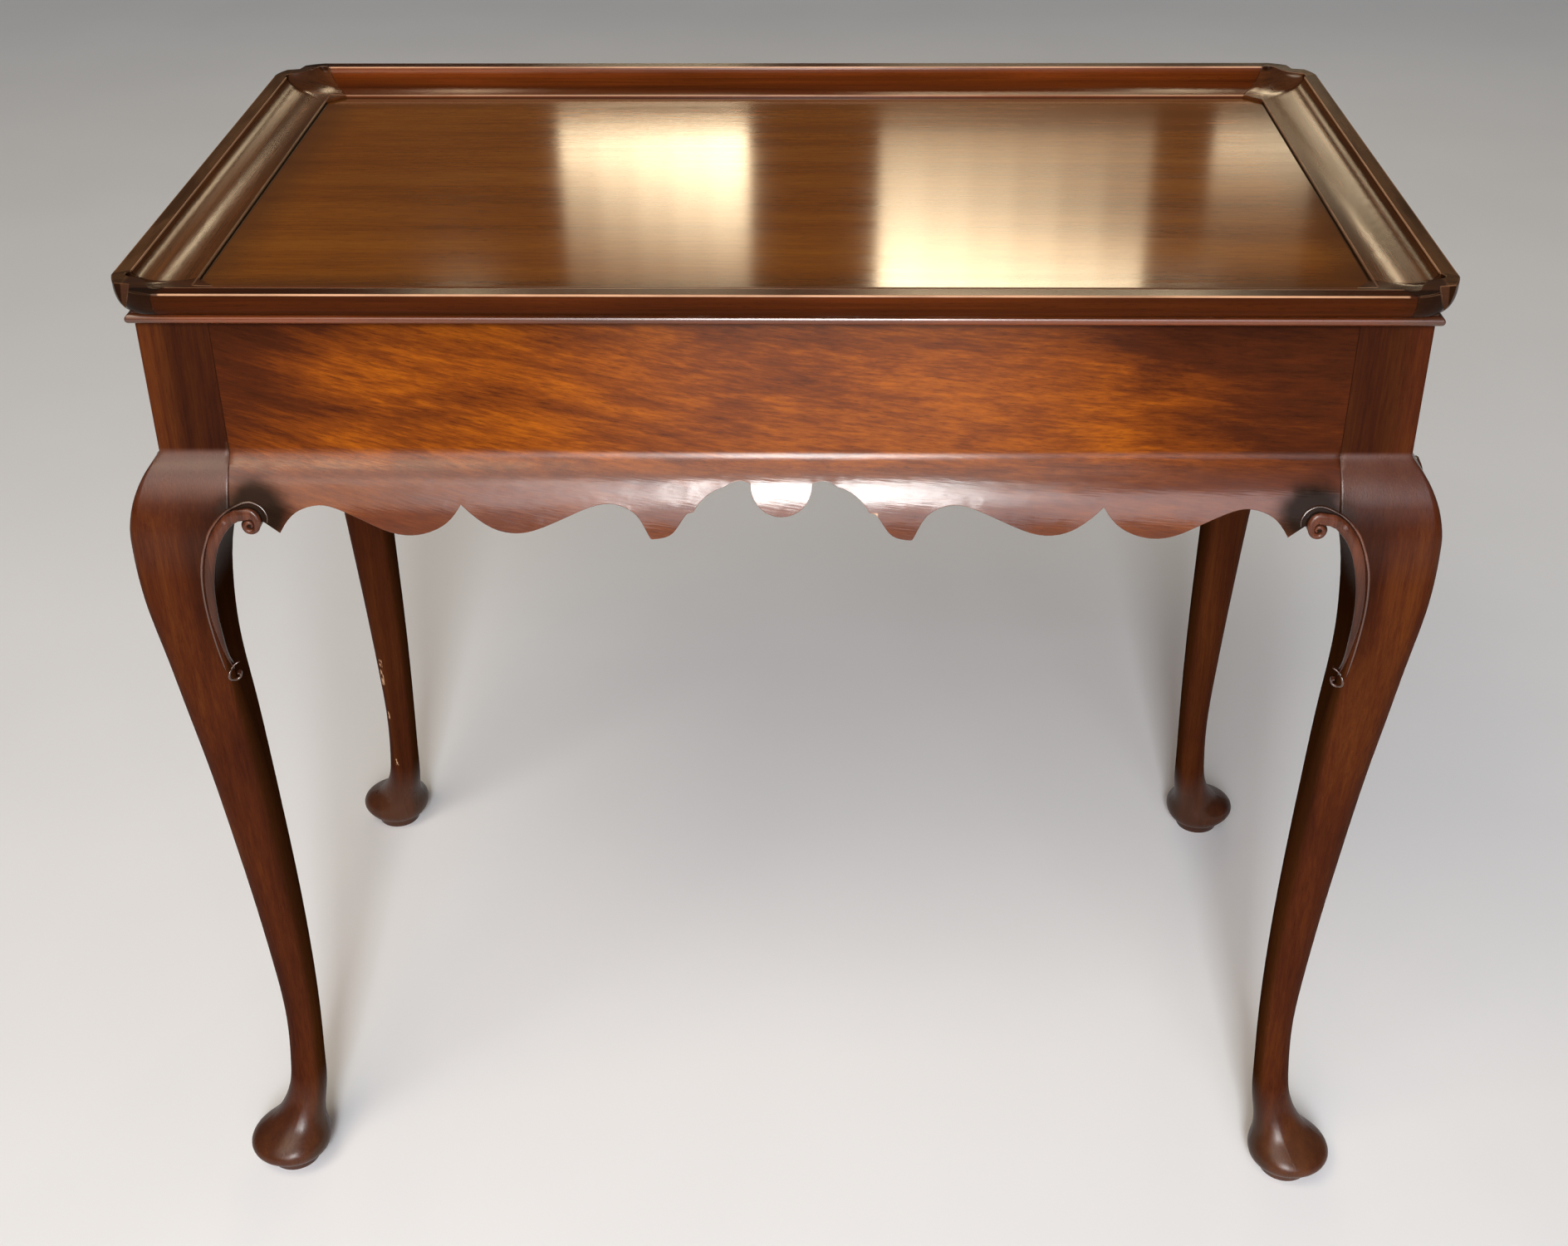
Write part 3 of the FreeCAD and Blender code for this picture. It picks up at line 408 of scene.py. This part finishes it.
def make_carving_finish(name, dark, light, specular, toned):
    """Wood of the scrolls, from dark to light. Toned is its share of the dark shading."""
    wood = Wood(name, "Z", 4.4)
    stripes = wood.noise(wood.space, 8.0, 200.0, detail=3.0)
    fibres = wood.fibres()
    colour = wood.ramp(stripes * 0.7 + fibres * 0.3, [(0.38, dark), (0.62, light)])
    low = 1.0 - wood.smooth(wood.z, SHOULDER - 75 * MM, SHOULDER - 50 * MM)
    colour = wood.shade(colour, 1.0 - low * 0.45)
    colour = wood.mix(volute_toner(wood) * toned, colour, TONER)
    roughness = 0.18 + stripes * 0.12
    return wood.finish(colour, roughness, fibres, 0.03 * MM, specular=specular)


STEP_HIGHLIGHT_LINES = (0.20, 0.70)    # strength of the line along the step, a painted highlight on a worn arris, at the ends and at the long sides


def lip_highlight_and_wear_lines(wood):
    """Thin light lines along both arrises of the lip and along the step down to the board: painted
    highlights on worn arrises.
    """
    lines = []
    for way, bright in zip(both_ways(wood, TRAY_X, TRAY_Y), STEP_HIGHLIGHT_LINES):
        side, half, other, other_half = way
        corner = other_half - CORNER_PIECE
        joint = other_half - RIM_WIDTH
        straight = 1.0 - wood.smooth(abs(other), corner, corner + 2 * MM)
        within = 1.0 - wood.smooth(abs(other), joint - 1 * MM, joint + 1 * MM)
        outer = wood.near(abs(side), half - 0.5 * MM, 0.40 * MM, 0.35 * MM)
        inner = wood.near(abs(side), half - LIP_WIDTH, 0.35 * MM, 0.40 * MM)
        high = wood.smooth(wood.z, RIM_TOP - 1.0 * MM, RIM_TOP - 0.7 * MM)
        step = wood.near(abs(side), half - RIM_WIDTH + 0.5 * MM, 0.35 * MM, 0.40 * MM) \
            * wood.smooth(wood.z, BOARD_TOP + 1.0 * MM, BOARD_TOP + 1.3 * MM)
        lip = wood.most(outer, inner) * high * straight
        lines.append(wood.most(lip, step * within * bright))
    return wood.most(*lines)


def make_moulding_finish(name, along, seed, brown, polish):
    """Dark rim and bead with rubbed arrises, painted highlights along the lip, and painted shade on the
    outer faces and at the corners. Brown is the lightest colour, polish is the cove's.
    """
    wood = Wood(name, along, seed)
    wood.bend(0.006, 3.0, 20.0)
    stripes = wood.noise(wood.space, 2.0, 120.0, detail=3.0, rough=0.6)
    clouds = wood.noise(wood.space, 5.0, 18.0, detail=2.0)
    fibres = wood.fibres()
    tone = stripes * 0.5 + clouds * 0.4 + fibres * 0.2
    medium = tuple(part * 0.55 for part in brown)
    dark = tuple(part * 0.28 for part in brown)
    colour = wood.ramp(tone, [(0.40, dark), (0.55, medium), (0.72, brown)])
    colour = wood.mix(wood.pores() * 0.4, colour, PORE)
    # painted shade towards the corners of the tray
    corner_x = wood.smooth(abs(wood.x), TRAY_X - 47 * MM, TRAY_X - 12 * MM)
    corner_y = wood.smooth(abs(wood.y), TRAY_Y - 48 * MM, TRAY_Y - 18 * MM)
    colour = wood.mix(corner_x * corner_y * 0.65, colour, CORNER_SHADE)
    inside = (1.0 - wood.smooth(abs(wood.x), TRAY_X - LIP_WIDTH, TRAY_X - LIP_WIDTH + 1 * MM)) \
        * (1.0 - wood.smooth(abs(wood.y), TRAY_Y - LIP_WIDTH, TRAY_Y - LIP_WIDTH + 1 * MM))
    # painted shade on the outer faces, with a painted pool of light on them near the middle of the front
    # and back, while the coves keep their full colour
    middle = 1.0 - wood.smooth(abs(wood.x + 0.02), 0.06, 0.24)
    colour = wood.shade(colour, 0.34 + middle * 0.16 + inside * (0.66 - middle * 0.16))
    # painted shadow in the quirk between the rim and the bead
    quirk = wood.near(wood.z, RAIL_TOP - 0.2 * MM, 1.0 * MM, 1.6 * MM)
    colour = wood.mix(quirk * 0.85, colour, GAP_SHADOW)
    rounded = wood.rounded(0.8 * MM)
    patches = wood.smooth(wood.noise(wood.space, 14.0, 60.0, detail=3.0), 0.36, 0.58)
    above = wood.smooth(wood.z, RAIL_TOP + 5 * MM, RAIL_TOP + 7 * MM)
    # seams between the straight rims and the corner pieces, which run slanting to the tray's edge
    from_x, from_y = TRAY_X - abs(wood.x), TRAY_Y - abs(wood.y)
    slants = wood.maths("MINIMUM", abs(from_x - from_y * SEAM_SLOPE - SEAM_START),
                        abs(from_y - from_x * SEAM_SLOPE - SEAM_START))
    at_seam = (1.0 - wood.smooth(slants, 0.8 * MM, 1.4 * MM)) * above
    thin = 1.0 - wood.smooth(slants, 0.10 * MM, 0.30 * MM)
    rubbed = wood.arris(rounded, 0.02, 0.20) * (0.10 + patches * 0.45) * above * (1.0 - at_seam)
    # painted highlights along the lip and the step, joined with the rubbed wear of the arrises
    worn = wood.most(lip_highlight_and_wear_lines(wood) * (0.60 + patches * 0.38), rubbed)
    colour = wood.mix(worn, colour, WORN)
    colour = wood.mix(at_seam * thin * 0.6, colour, PORE)
    top = wood.smooth(wood.z, RIM_TOP - 0.8 * MM, RIM_TOP - 0.3 * MM)
    ends = wood.smooth(abs(wood.x), TRAY_X - LIP_WIDTH - 2 * MM, TRAY_X - LIP_WIDTH)
    colour = wood.mix(top * ends * (0.15 + patches * 0.25), colour, LIP_TAN)
    bead = 1.0 - wood.smooth(wood.z, RAIL_TOP - 2.4 * MM, RAIL_TOP - 1.6 * MM)
    polished = wood.most(inside * polish, top * 0.4, bead)
    roughness = 0.16 + wood.noise(wood.space, 8.0, 90.0, detail=2.0) * 0.10
    return wood.finish(colour, roughness, fibres, 0.004 * MM, rounded, DULL, polished, gloss=0.75)


def make_poplar_finish():
    """Bare planed wood of the hidden blocks and ledgers."""
    wood = Wood("bare_poplar", "X", 1.9)
    rings = wood.noise(wood.space, 3.0, 90.0, detail=3.0)
    fibres = wood.fibres()
    colour = wood.ramp(rings * 0.7 + fibres * 0.4, [(0.35, (0.30, 0.19, 0.09)), (0.7, (0.56, 0.40, 0.22))])
    return wood.finish(colour, 0.60 + fibres * 0.15, fibres, 0.1 * MM, specular=0.3)


def make_steel_finish():
    """Dull plain steel of the wood screws."""
    paint = Paint("screw_steel")
    x, y, z = paint.place()
    tarnish = paint.noise(paint.vector(x, y, z), 300.0, 300.0, detail=3.0)
    colour = paint.ramp(tarnish, [(0.35, (0.20, 0.19, 0.18)), (0.65, (0.52, 0.51, 0.49))])
    height = paint.noise(paint.vector(x, y, z), 1500.0, 1500.0)
    bump = paint.node("ShaderNodeBump", {}, {"Distance": 0.02 * MM, "Height": height})
    surface = paint.node("ShaderNodeBsdfPrincipled", {},
                         {"Base Color": colour, "Metallic": 1.0, "Roughness": 0.30 + tarnish * 0.2,
                          "Normal": bump})
    paint.node("ShaderNodeOutputMaterial", {}, {"Surface": surface})
    return paint.material


def put_finish(piece, material):
    piece.data.materials.clear()
    piece.data.materials.append(material)


# where the flame figure of each frieze starts and ends along its rail
FIGURED = {"front": (-0.340, 0.33), "back": (-0.31, 0.34), "left": (-0.19, 0.19), "right": (-0.20, 0.17)}


def finish_nodes(finishes):
    for side in SIDES:
        put_finish(NODES["rail_" + side], finishes["frieze_" + side])
        lie = "x" if side in ("front", "back") else "y"
        put_finish(NODES["bead_" + side], finishes["moulding_" + lie])
        put_finish(NODES["rim_" + side], finishes["moulding_" + lie])
        put_finish(NODES["ledger_" + side], finishes["poplar"])
    for corner in CORNERS:
        put_finish(NODES["leg_" + corner], finishes["legs"])
        put_finish(NODES["rim_corner_" + corner], finishes["moulding_corner"])
        put_finish(NODES["corner_block_" + corner], finishes["poplar"])
    put_finish(NODES["tray_board"], finishes["board"])
    for group in ("corner_block_screws", "ledger_screws", "board_screws"):
        put_finish(NODES[group], finishes["steel"])
    for node in NODES.values():
        node.select_set(False)


# ---- carving of the knees -----------------------------------------------------------------------
# All measured in millimetres on the front of the front left corner: distance in from the frieze
# corner and height below the shoulder.
# Raised fillet outside the scroll: (in, fall, half width)
FILLET = [(63.0, 37.0, 0.30), (63.0, 32.5, 0.75), (60.6, 28.6, 0.95), (56.8, 26.2, 1.00),
          (52.6, 25.3, 1.00), (47.0, 26.6, 1.00), (38.0, 31.4, 1.00), (31.5, 38.0, 1.00),
          (26.7, 46.0, 1.00), (20.7, 64.6, 0.95), (18.6, 87.0, 0.80), (19.4, 114.5, 0.65),
          (21.6, 142.0, 0.30)]
# Scroll between the fillet and the inner arris, up to the volute: (in, fall, half width, stands proud)
SCROLL = [(24.9, 143.0, 0.4, 0.0), (23.6, 130.0, 1.0, 0.2), (22.8, 115.0, 1.8, 0.4), (22.3, 99.0, 2.4, 0.5),
          (23.5, 77.0, 2.9, 0.7), (27.9, 55.6, 3.3, 0.9), (33.8, 42.8, 3.5, 1.2), (40.4, 35.0, 3.7, 1.8),
          (46.6, 31.3, 3.9, 2.6)]
# Volute: (turn in degrees from the top, distance from the eye, half width)
VOLUTE = [(0, 7.3, 3.7), (45, 5.5, 2.75), (90, 3.95, 1.95), (135, 3.75, 1.8), (180, 3.7, 1.75),
          (225, 3.65, 1.65), (270, 3.45, 1.5), (315, 2.8, 1.3), (360, 2.1, 1.1), (405, 1.6, 0.95),
          (450, 1.2, 0.8), (500, 0.7, 0.7)]
# Small curl at the lower end: (turn in degrees, distance from its eye, half width)
CURL_EYE = (26.5, 148.5)
CURL = [(104, 9.7, 0.35), (75, 6.8, 0.6), (45, 4.9, 0.85), (10, 4.1, 0.9), (-30, 3.8, 0.9),
        (-65, 3.5, 0.85), (-104, 2.7, 0.8), (-150, 1.9, 0.7), (-200, 1.4, 0.6), (-250, 0.8, 0.5)]
CURL_ARRIS = 24.0            # past this it follows the knee's inner arris
CURL_TURN = 22.0             # and from here it falls back by CURL_LEAN
CURL_LEAN = 0.55
SIDES_AROUND = 12
STEPS_BETWEEN = 4
ROUND_RISE = 1.5             # height of a rounded scroll above its middle line
FULL_WIDTH = 1.5             # half width from which a scroll rises that much
FILLET_RISE = 1.1            # height of the fillet as a share of its half width
BURIED = 3.5                 # how far its back reaches into the wood
VOLUTE_FACE = 21.1           # middle line of the volute past the frieze face
VOLUTE_EASE = 60.0           # degrees in which the scroll comes out to it


def solid_surface(names):
    """Search tree over the faces of some nodes."""
    vertices = []
    faces = []
    for name in names:
        mesh = NODES[name].data
        start = len(vertices)
        vertices += [vertex.co.copy() for vertex in mesh.vertices]
        faces += [[start + index for index in face.vertices] for face in mesh.polygons]
    return BVHTree.FromPolygons(vertices, faces)


KNEE = solid_surface(["leg_front_left"])
SKIRT = solid_surface(["rail_front"])
SKIRT_SAMPLE = -157 * MM     # the skirt is deepest here
SKIRT_FLARE = 43 * MM        # fall of the flare that is measured there
RAY_START = -1.0             # well in front of the table
ARRIS_STEP = 0.5             # millimetres between two tries, just past an arris
ARRIS_TRIES = 12


def out_of_face(inward, fall):
    """How far the wood stands past the frieze face, in millimetres."""
    height = SHOULDER - fall * MM
    if inward * MM >= LEG_POST:
        start = Vector((SKIRT_SAMPLE, RAY_START, max(height, SHOULDER - SKIRT_FLARE)))
        return -(SKIRT.ray_cast(start, Vector((0, 1, 0)))[0].y + FRIEZE_Y) / MM
    for back in range(ARRIS_TRIES):       # just past the inner arris the nearest wood is used
        start = Vector((-FRIEZE_X + (inward - ARRIS_STEP * back) * MM, RAY_START, height))
        hit = KNEE.ray_cast(start, Vector((0, 1, 0)))[0]
        if hit:
            return -(hit.y + FRIEZE_Y) / MM


def between_rows(rows, steps):
    """Points on a smooth run through the rows, each a tuple of numbers."""
    points = []
    for index in range(len(rows) - 1):
        before = rows[max(index - 1, 0)]
        start, end = rows[index], rows[index + 1]
        after = rows[min(index + 2, len(rows) - 1)]
        for step in range(steps):
            t = step / steps
            points.append(tuple(
                0.5 * (2 * b + (c - a) * t + (2 * a - 5 * b + 4 * c - d) * t * t
                       + (3 * b - a - 3 * c + d) * t ** 3)
                for a, b, c, d in zip(before, start, end, after)))
    points.append(tuple(rows[-1]))
    return points


def sweep(name, stations):
    """Rounded ridge through the stations (in, fall, out, half width, rise), made by extruding one ring."""
    bpy.ops.object.select_all(action="DESELECT")
    bpy.ops.mesh.primitive_circle_add(vertices=SIDES_AROUND, radius=MM, fill_type="NGON")
    piece = bpy.context.object
    piece.name = name
    bpy.ops.object.mode_set(mode="EDIT")
    places = [Vector((inward, -out, -fall)) for inward, fall, out, _, _ in stations]
    for index, (inward, fall, out, half, rise) in enumerate(stations):
        if index:
            bpy.ops.mesh.extrude_region_move()
        ahead = places[min(index + 1, len(places) - 1)] - places[max(index - 1, 0)]
        ahead.normalize()
        across = ahead.cross(Vector((0, 1, 0))).normalized()
        outwards = across.cross(ahead).normalized()
        if outwards.y > 0:
            outwards.negate()
        mesh = bmesh.from_edit_mesh(piece.data)
        ring = sorted((v for v in mesh.verts if v.select), key=lambda v: v.index)
        for step, vertex in enumerate(ring):
            turn = 2 * math.pi * step / len(ring)
            lift = math.sin(turn)
            push = lift * rise if lift > 0 else lift * BURIED
            spot = places[index] + across * (half * math.cos(turn)) + outwards * push
            vertex.co = Vector((-FRIEZE_X, -FRIEZE_Y, SHOULDER)) + spot * MM
        bmesh.update_edit_mesh(piece.data)
    bpy.ops.mesh.select_all(action="SELECT")
    bpy.ops.mesh.normals_make_consistent(inside=False)
    bpy.ops.object.mode_set(mode="OBJECT")
    bpy.ops.object.shade_smooth()
    return piece


def fillet_stations():
    stations = []
    for inward, fall, half in between_rows(FILLET, STEPS_BETWEEN):
        out = out_of_face(inward, fall)
        stations.append((inward, fall, out, half, half * FILLET_RISE))
    return stations


def scroll_rise(half):
    """Height of the scroll above its middle line, less where it is narrow."""
    return ROUND_RISE * min(1.0, half / FULL_WIDTH)


def scroll_stations():
    """The scroll up the knee and over the seam, then round the volute to its eye."""
    eye_in = VOLUTE_IN / MM
    eye_fall = (SHOULDER - VOLUTE_HEIGHT) / MM
    stations = []
    for inward, fall, half, proud in between_rows(SCROLL, STEPS_BETWEEN)[:-1]:
        out = out_of_face(inward, fall) + proud
        stations.append((inward, fall, out, half, scroll_rise(half)))
    top_out = stations[-1][2]
    for turn, distance, half in between_rows(VOLUTE, STEPS_BETWEEN):
        angle = math.radians(turn)
        share = min(turn / VOLUTE_EASE, 1.0)
        out = top_out + (VOLUTE_FACE - top_out) * share
        inward = eye_in + distance * math.sin(angle)
        fall = eye_fall - distance * math.cos(angle)
        stations.append((inward, fall, out, half, scroll_rise(half)))
    return stations


def curl_stations():
    stations = []
    for turn, distance, half in between_rows(CURL, STEPS_BETWEEN):
        angle = math.radians(turn)
        inward = CURL_EYE[0] - distance * math.cos(angle)
        fall = CURL_EYE[1] - distance * math.sin(angle)
        out = out_of_face(min(inward, CURL_ARRIS), fall)
        stations.append((inward, fall, out - max(inward - CURL_TURN, 0.0) * CURL_LEAN, half, half))
    return stations


def joined(name, pieces):
    bpy.ops.object.select_all(action="DESELECT")
    for piece in pieces:
        piece.select_set(True)
    bpy.context.view_layer.objects.active = pieces[0]
    bpy.ops.object.join()
    piece = bpy.context.object
    piece.name = name
    return piece


def settle(piece):
    """Moves the object's place into its mesh and turns its faces outwards."""
    bpy.ops.object.select_all(action="DESELECT")
    piece.select_set(True)
    bpy.context.view_layer.objects.active = piece
    bpy.ops.object.transform_apply(location=True, rotation=True, scale=True)
    bpy.ops.object.mode_set(mode="EDIT")
    bpy.ops.mesh.select_all(action="SELECT")
    bpy.ops.mesh.normals_make_consistent(inside=False)
    bpy.ops.object.mode_set(mode="OBJECT")


def swapped_axes():
    """Turns the carving of a long rail's face into that of the end beside it."""
    corner = Matrix.Translation(Vector((-FRIEZE_X, -FRIEZE_Y, 0)))
    swap = Matrix(((0, 1, 0, 0), (1, 0, 0, 0), (0, 0, 1, 0), (0, 0, 0, 1)))
    return corner @ swap @ corner.inverted()


def make_carvings(scroll_finish, ridge_finish):
    ridges = [sweep("fillet", fillet_stations()), sweep("curl", curl_stations())]
    scroll = sweep("scroll", scroll_stations())
    put_finish(scroll, scroll_finish)
    for ridge in ridges:
        put_finish(ridge, ridge_finish)
    first = joined("knee_carving", [scroll, *ridges])
    settle(first)
    faces = {"face": Matrix.Identity(4), "end": swapped_axes()}
    signs = {"front_left": (1, 1), "front_right": (-1, 1), "back_left": (1, -1), "back_right": (-1, -1)}
    for face, turn in faces.items():
        for corner, (flip_x, flip_y) in signs.items():
            piece = first.copy()
            piece.data = first.data.copy()
            bpy.context.scene.collection.objects.link(piece)
            piece.name = "knee_carving_%s_%s" % (face, corner)
            piece.data.transform(Matrix.Diagonal((flip_x, flip_y, 1, 1)) @ turn)
            settle(piece)
            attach(piece, "root")
    bpy.data.objects.remove(first)


# ---- stage --------------------------------------------------------------------------------------
FLOOR_SIZE = 60.0


def make_floor():
    bpy.ops.object.select_all(action="DESELECT")
    bpy.ops.mesh.primitive_plane_add(size=FLOOR_SIZE)
    floor = bpy.context.object
    floor.name = "floor"
    paint = Paint("pale_floor")
    x, y, z = paint.place()
    mottle = paint.noise(paint.vector(x, y, z), 3.0, 3.0, detail=3.0)
    colour = paint.ramp(mottle, [(0.3, (0.83, 0.83, 0.83)), (0.7, (0.86, 0.86, 0.86))])
    put_finish(floor, paint.finish(colour, 0.8, mottle, 0.1 * MM, specular=0.1))


def make_softbox(name, place, aim, width, height, glare, colour):
    """Flat lamp; glare is its brightness seen in a perfect mirror."""
    light = bpy.data.lights.new(name, "AREA")
    light.shape = "RECTANGLE"
    light.size = width
    light.size_y = height
    light.energy = glare * math.pi * width * height
    light.color = colour
    holder = bpy.data.objects.new(name, light)
    holder.location = place
    holder.rotation_euler = (Vector(aim) - Vector(place)).to_track_quat("-Z", "Y").to_euler()
    bpy.context.scene.collection.objects.link(holder)


def make_panel(name, left, right, low, high, distance, glare, colour):
    """Upright flat lamp that faces the table. Distance is its place along Y."""
    middle = ((left + right) / 2, distance, (low + high) / 2)
    make_softbox(name, middle, (middle[0], 0.0, middle[2]), right - left, high - low, glare, colour)


# upright windows behind the table, which the board mirrors. Each is (left, right, columns, glare up
# its left edge, glare up its right edge), with one glare for each of the heights
WINDOW_DISTANCE = 3.0
WINDOW_HEIGHTS = (1.592, 1.62, 1.69, 1.79, 1.88, 2.02)
WINDOW_ROWS = 2              # rows of panels between two heights
WINDOWS = [(-0.56, -0.15, 5, (12.0, 8.0, 3.0, 1.5, 0.7, 0.1), (15.0, 14.0, 10.0, 6.0, 3.0, 0.2)),
           (0.138, 0.73, 6, (2.2, 2.4, 3.6, 6.4, 10.5, 18.0), (1.1, 1.2, 1.0, 0.9, 2.8, 11.0)),
           (0.86, 1.08, 2, (5.5, 4.2, 1.0, 0.3, 0.2, 0.1), (5.5, 4.2, 1.2, 0.3, 0.2, 0.1))]
# narrow panels above them, which the coves of the two ends mirror: (left, right, low, high, glare)
END_PANELS = [(-0.86, -0.74, 2.08, 2.40, 20.0), (0.76, 0.88, 2.08, 2.40, 26.0)]
CREAM = (1.0, 0.80, 0.52)

# panels in front of the table, which the flare of the skirt mirrors:
# (name, left, right, low, high, glare, tint)
FRONT_DISTANCE = 3.0
FRONT_PANELS = [("front_door", -0.24, 0.27, 1.25, 2.60, 48.0, (0.90, 0.95, 1.0)),
                ("front_left", -0.75, -0.24, 1.00, 2.60, 5.0, (0.95, 0.92, 1.0)),
                ("front_far_left", -1.60, -0.75, 1.00, 2.60, 3.2, (1.0, 0.62, 0.45)),
                ("front_right", 0.27, 1.30, 0.60, 1.90, 4.2, (0.95, 0.90, 1.0)),
                ("front_low", -0.50, 0.27, 0.35, 1.20, 4.5, (0.95, 0.92, 1.0))]

# warm panel overhead, which the top of the left flare mirrors
OVERHEAD_PLACE = (-1.1, -1.3, 2.6)
OVERHEAD_SIZE = 1.2
OVERHEAD_GLARE = 4.0
OVERHEAD_TINT = (1.0, 0.85, 0.60)

WORLD_TINT = (1.0, 0.92, 0.84, 1.0)
WORLD_STRENGTH = 0.045
SUN_STRENGTH = 0.82
SUN_ANGLE = math.radians(40)
SUN_WAY = (0.20, 0.62, -0.76)


def make_window(start, end, columns, left_glares, right_glares):
    """Small panels whose glare changes evenly over the window."""
    width = (end - start) / columns
    for column in range(columns):
        share = (column + 0.5) / columns
        glares = [first + (last - first) * share for first, last in zip(left_glares, right_glares)]
        left = start + width * column
        for index in range(len(WINDOW_HEIGHTS) - 1):
            height = (WINDOW_HEIGHTS[index + 1] - WINDOW_HEIGHTS[index]) / WINDOW_ROWS
            for row in range(WINDOW_ROWS):
                low = WINDOW_HEIGHTS[index] + height * row
                up = (row + 0.5) / WINDOW_ROWS
                glare = glares[index] + (glares[index + 1] - glares[index]) * up
                make_panel("window", left, left + width, low, low + height, WINDOW_DISTANCE, glare, CREAM)


def make_lights():
    world = bpy.data.worlds.new("studio")
    world.use_nodes = True
    world.node_tree.nodes["Background"].inputs["Color"].default_value = WORLD_TINT
    world.node_tree.nodes["Background"].inputs["Strength"].default_value = WORLD_STRENGTH
    bpy.context.scene.world = world
    sun = bpy.data.lights.new("key", "SUN")
    sun.energy = SUN_STRENGTH
    sun.angle = SUN_ANGLE
    holder = bpy.data.objects.new("key", sun)
    holder.rotation_euler = Vector(SUN_WAY).to_track_quat("-Z", "Y").to_euler()
    bpy.context.scene.collection.objects.link(holder)
    for window in WINDOWS:
        make_window(*window)
    for left, right, low, high, glare in END_PANELS:
        make_panel("end_panel", left, right, low, high, WINDOW_DISTANCE, glare, CREAM)
    for name, left, right, low, high, glare, tint in FRONT_PANELS:
        make_panel(name, left, right, low, high, -FRONT_DISTANCE, glare, tint)
    below = (OVERHEAD_PLACE[0], OVERHEAD_PLACE[1], 0.0)
    make_softbox("overhead", OVERHEAD_PLACE, below, OVERHEAD_SIZE, OVERHEAD_SIZE, OVERHEAD_GLARE,
                 OVERHEAD_TINT)


CAMERA_PLACE = (0.02664, -1.24343, 1.09690)
CAMERA_PITCH = 0.55068       # radians below level
CAMERA_YAW = -0.025055
CAMERA_ROLL = -0.007661
CAMERA_LENS = 45.77          # millimetres, on a sensor that is CAMERA_SENSOR wide
CAMERA_SENSOR = 36.0
CAMERA_REACH = 200.0


def make_camera():
    pitch, yaw, roll = CAMERA_PITCH, CAMERA_YAW, CAMERA_ROLL
    forward = Vector((math.sin(yaw) * math.cos(pitch), math.cos(yaw) * math.cos(pitch), -math.sin(pitch)))
    level = Vector((math.cos(yaw), -math.sin(yaw), 0.0))
    upright = level.cross(forward)
    right = math.cos(roll) * level + math.sin(roll) * upright
    up = math.cos(roll) * upright - math.sin(roll) * level
    camera = bpy.data.cameras.new("camera")
    camera.sensor_width = CAMERA_SENSOR
    camera.lens = CAMERA_LENS
    camera.clip_end = CAMERA_REACH
    holder = bpy.data.objects.new("camera", camera)
    turn = Matrix((right, up, -forward)).transposed().to_4x4()
    holder.matrix_world = Matrix.Translation(Vector(CAMERA_PLACE)) @ turn
    bpy.context.scene.collection.objects.link(holder)
    bpy.context.scene.camera = holder
    bpy.context.scene.view_settings.view_transform = "Standard"


# ---- making it all ------------------------------------------------------------------------------
make_camera()
make_lights()
make_floor()
FINISHES = {
    "board": make_board_finish(),
    "frieze_front": make_frieze_finish("mahogany_frieze_front", "X", 0.0, FIGURED["front"], chipped=True),
    "frieze_back": make_frieze_finish("mahogany_frieze_back", "X", 5.3, FIGURED["back"]),
    "frieze_left": make_frieze_finish("mahogany_frieze_left", "Y", 8.9, FIGURED["left"]),
    "frieze_right": make_frieze_finish("mahogany_frieze_right", "Y", 12.4, FIGURED["right"]),
    "legs": make_leg_finish(),
    "scroll": make_carving_finish("mahogany_scroll", (0.045, 0.012, 0.005), (0.095, 0.028, 0.013),
                                  0.30, 0.0),
    "ridge": make_carving_finish("mahogany_ridge", (0.050, 0.014, 0.006), (0.110, 0.036, 0.018),
                                 1.0, 0.75),
    "moulding_x": make_moulding_finish("mahogany_moulding_long", "X", 2.2, (0.185, 0.038, 0.006), 0.15),
    "moulding_y": make_moulding_finish("mahogany_moulding_end", "Y", 6.1, (0.140, 0.044, 0.010), 0.45),
    "moulding_corner": make_moulding_finish("mahogany_moulding_corner", "X", 4.9,
                                            (0.110, 0.032, 0.008), 0.6),
    "poplar": make_poplar_finish(),
    "steel": make_steel_finish(),
}
finish_nodes(FINISHES)
make_carvings(FINISHES["scroll"], FINISHES["ridge"])
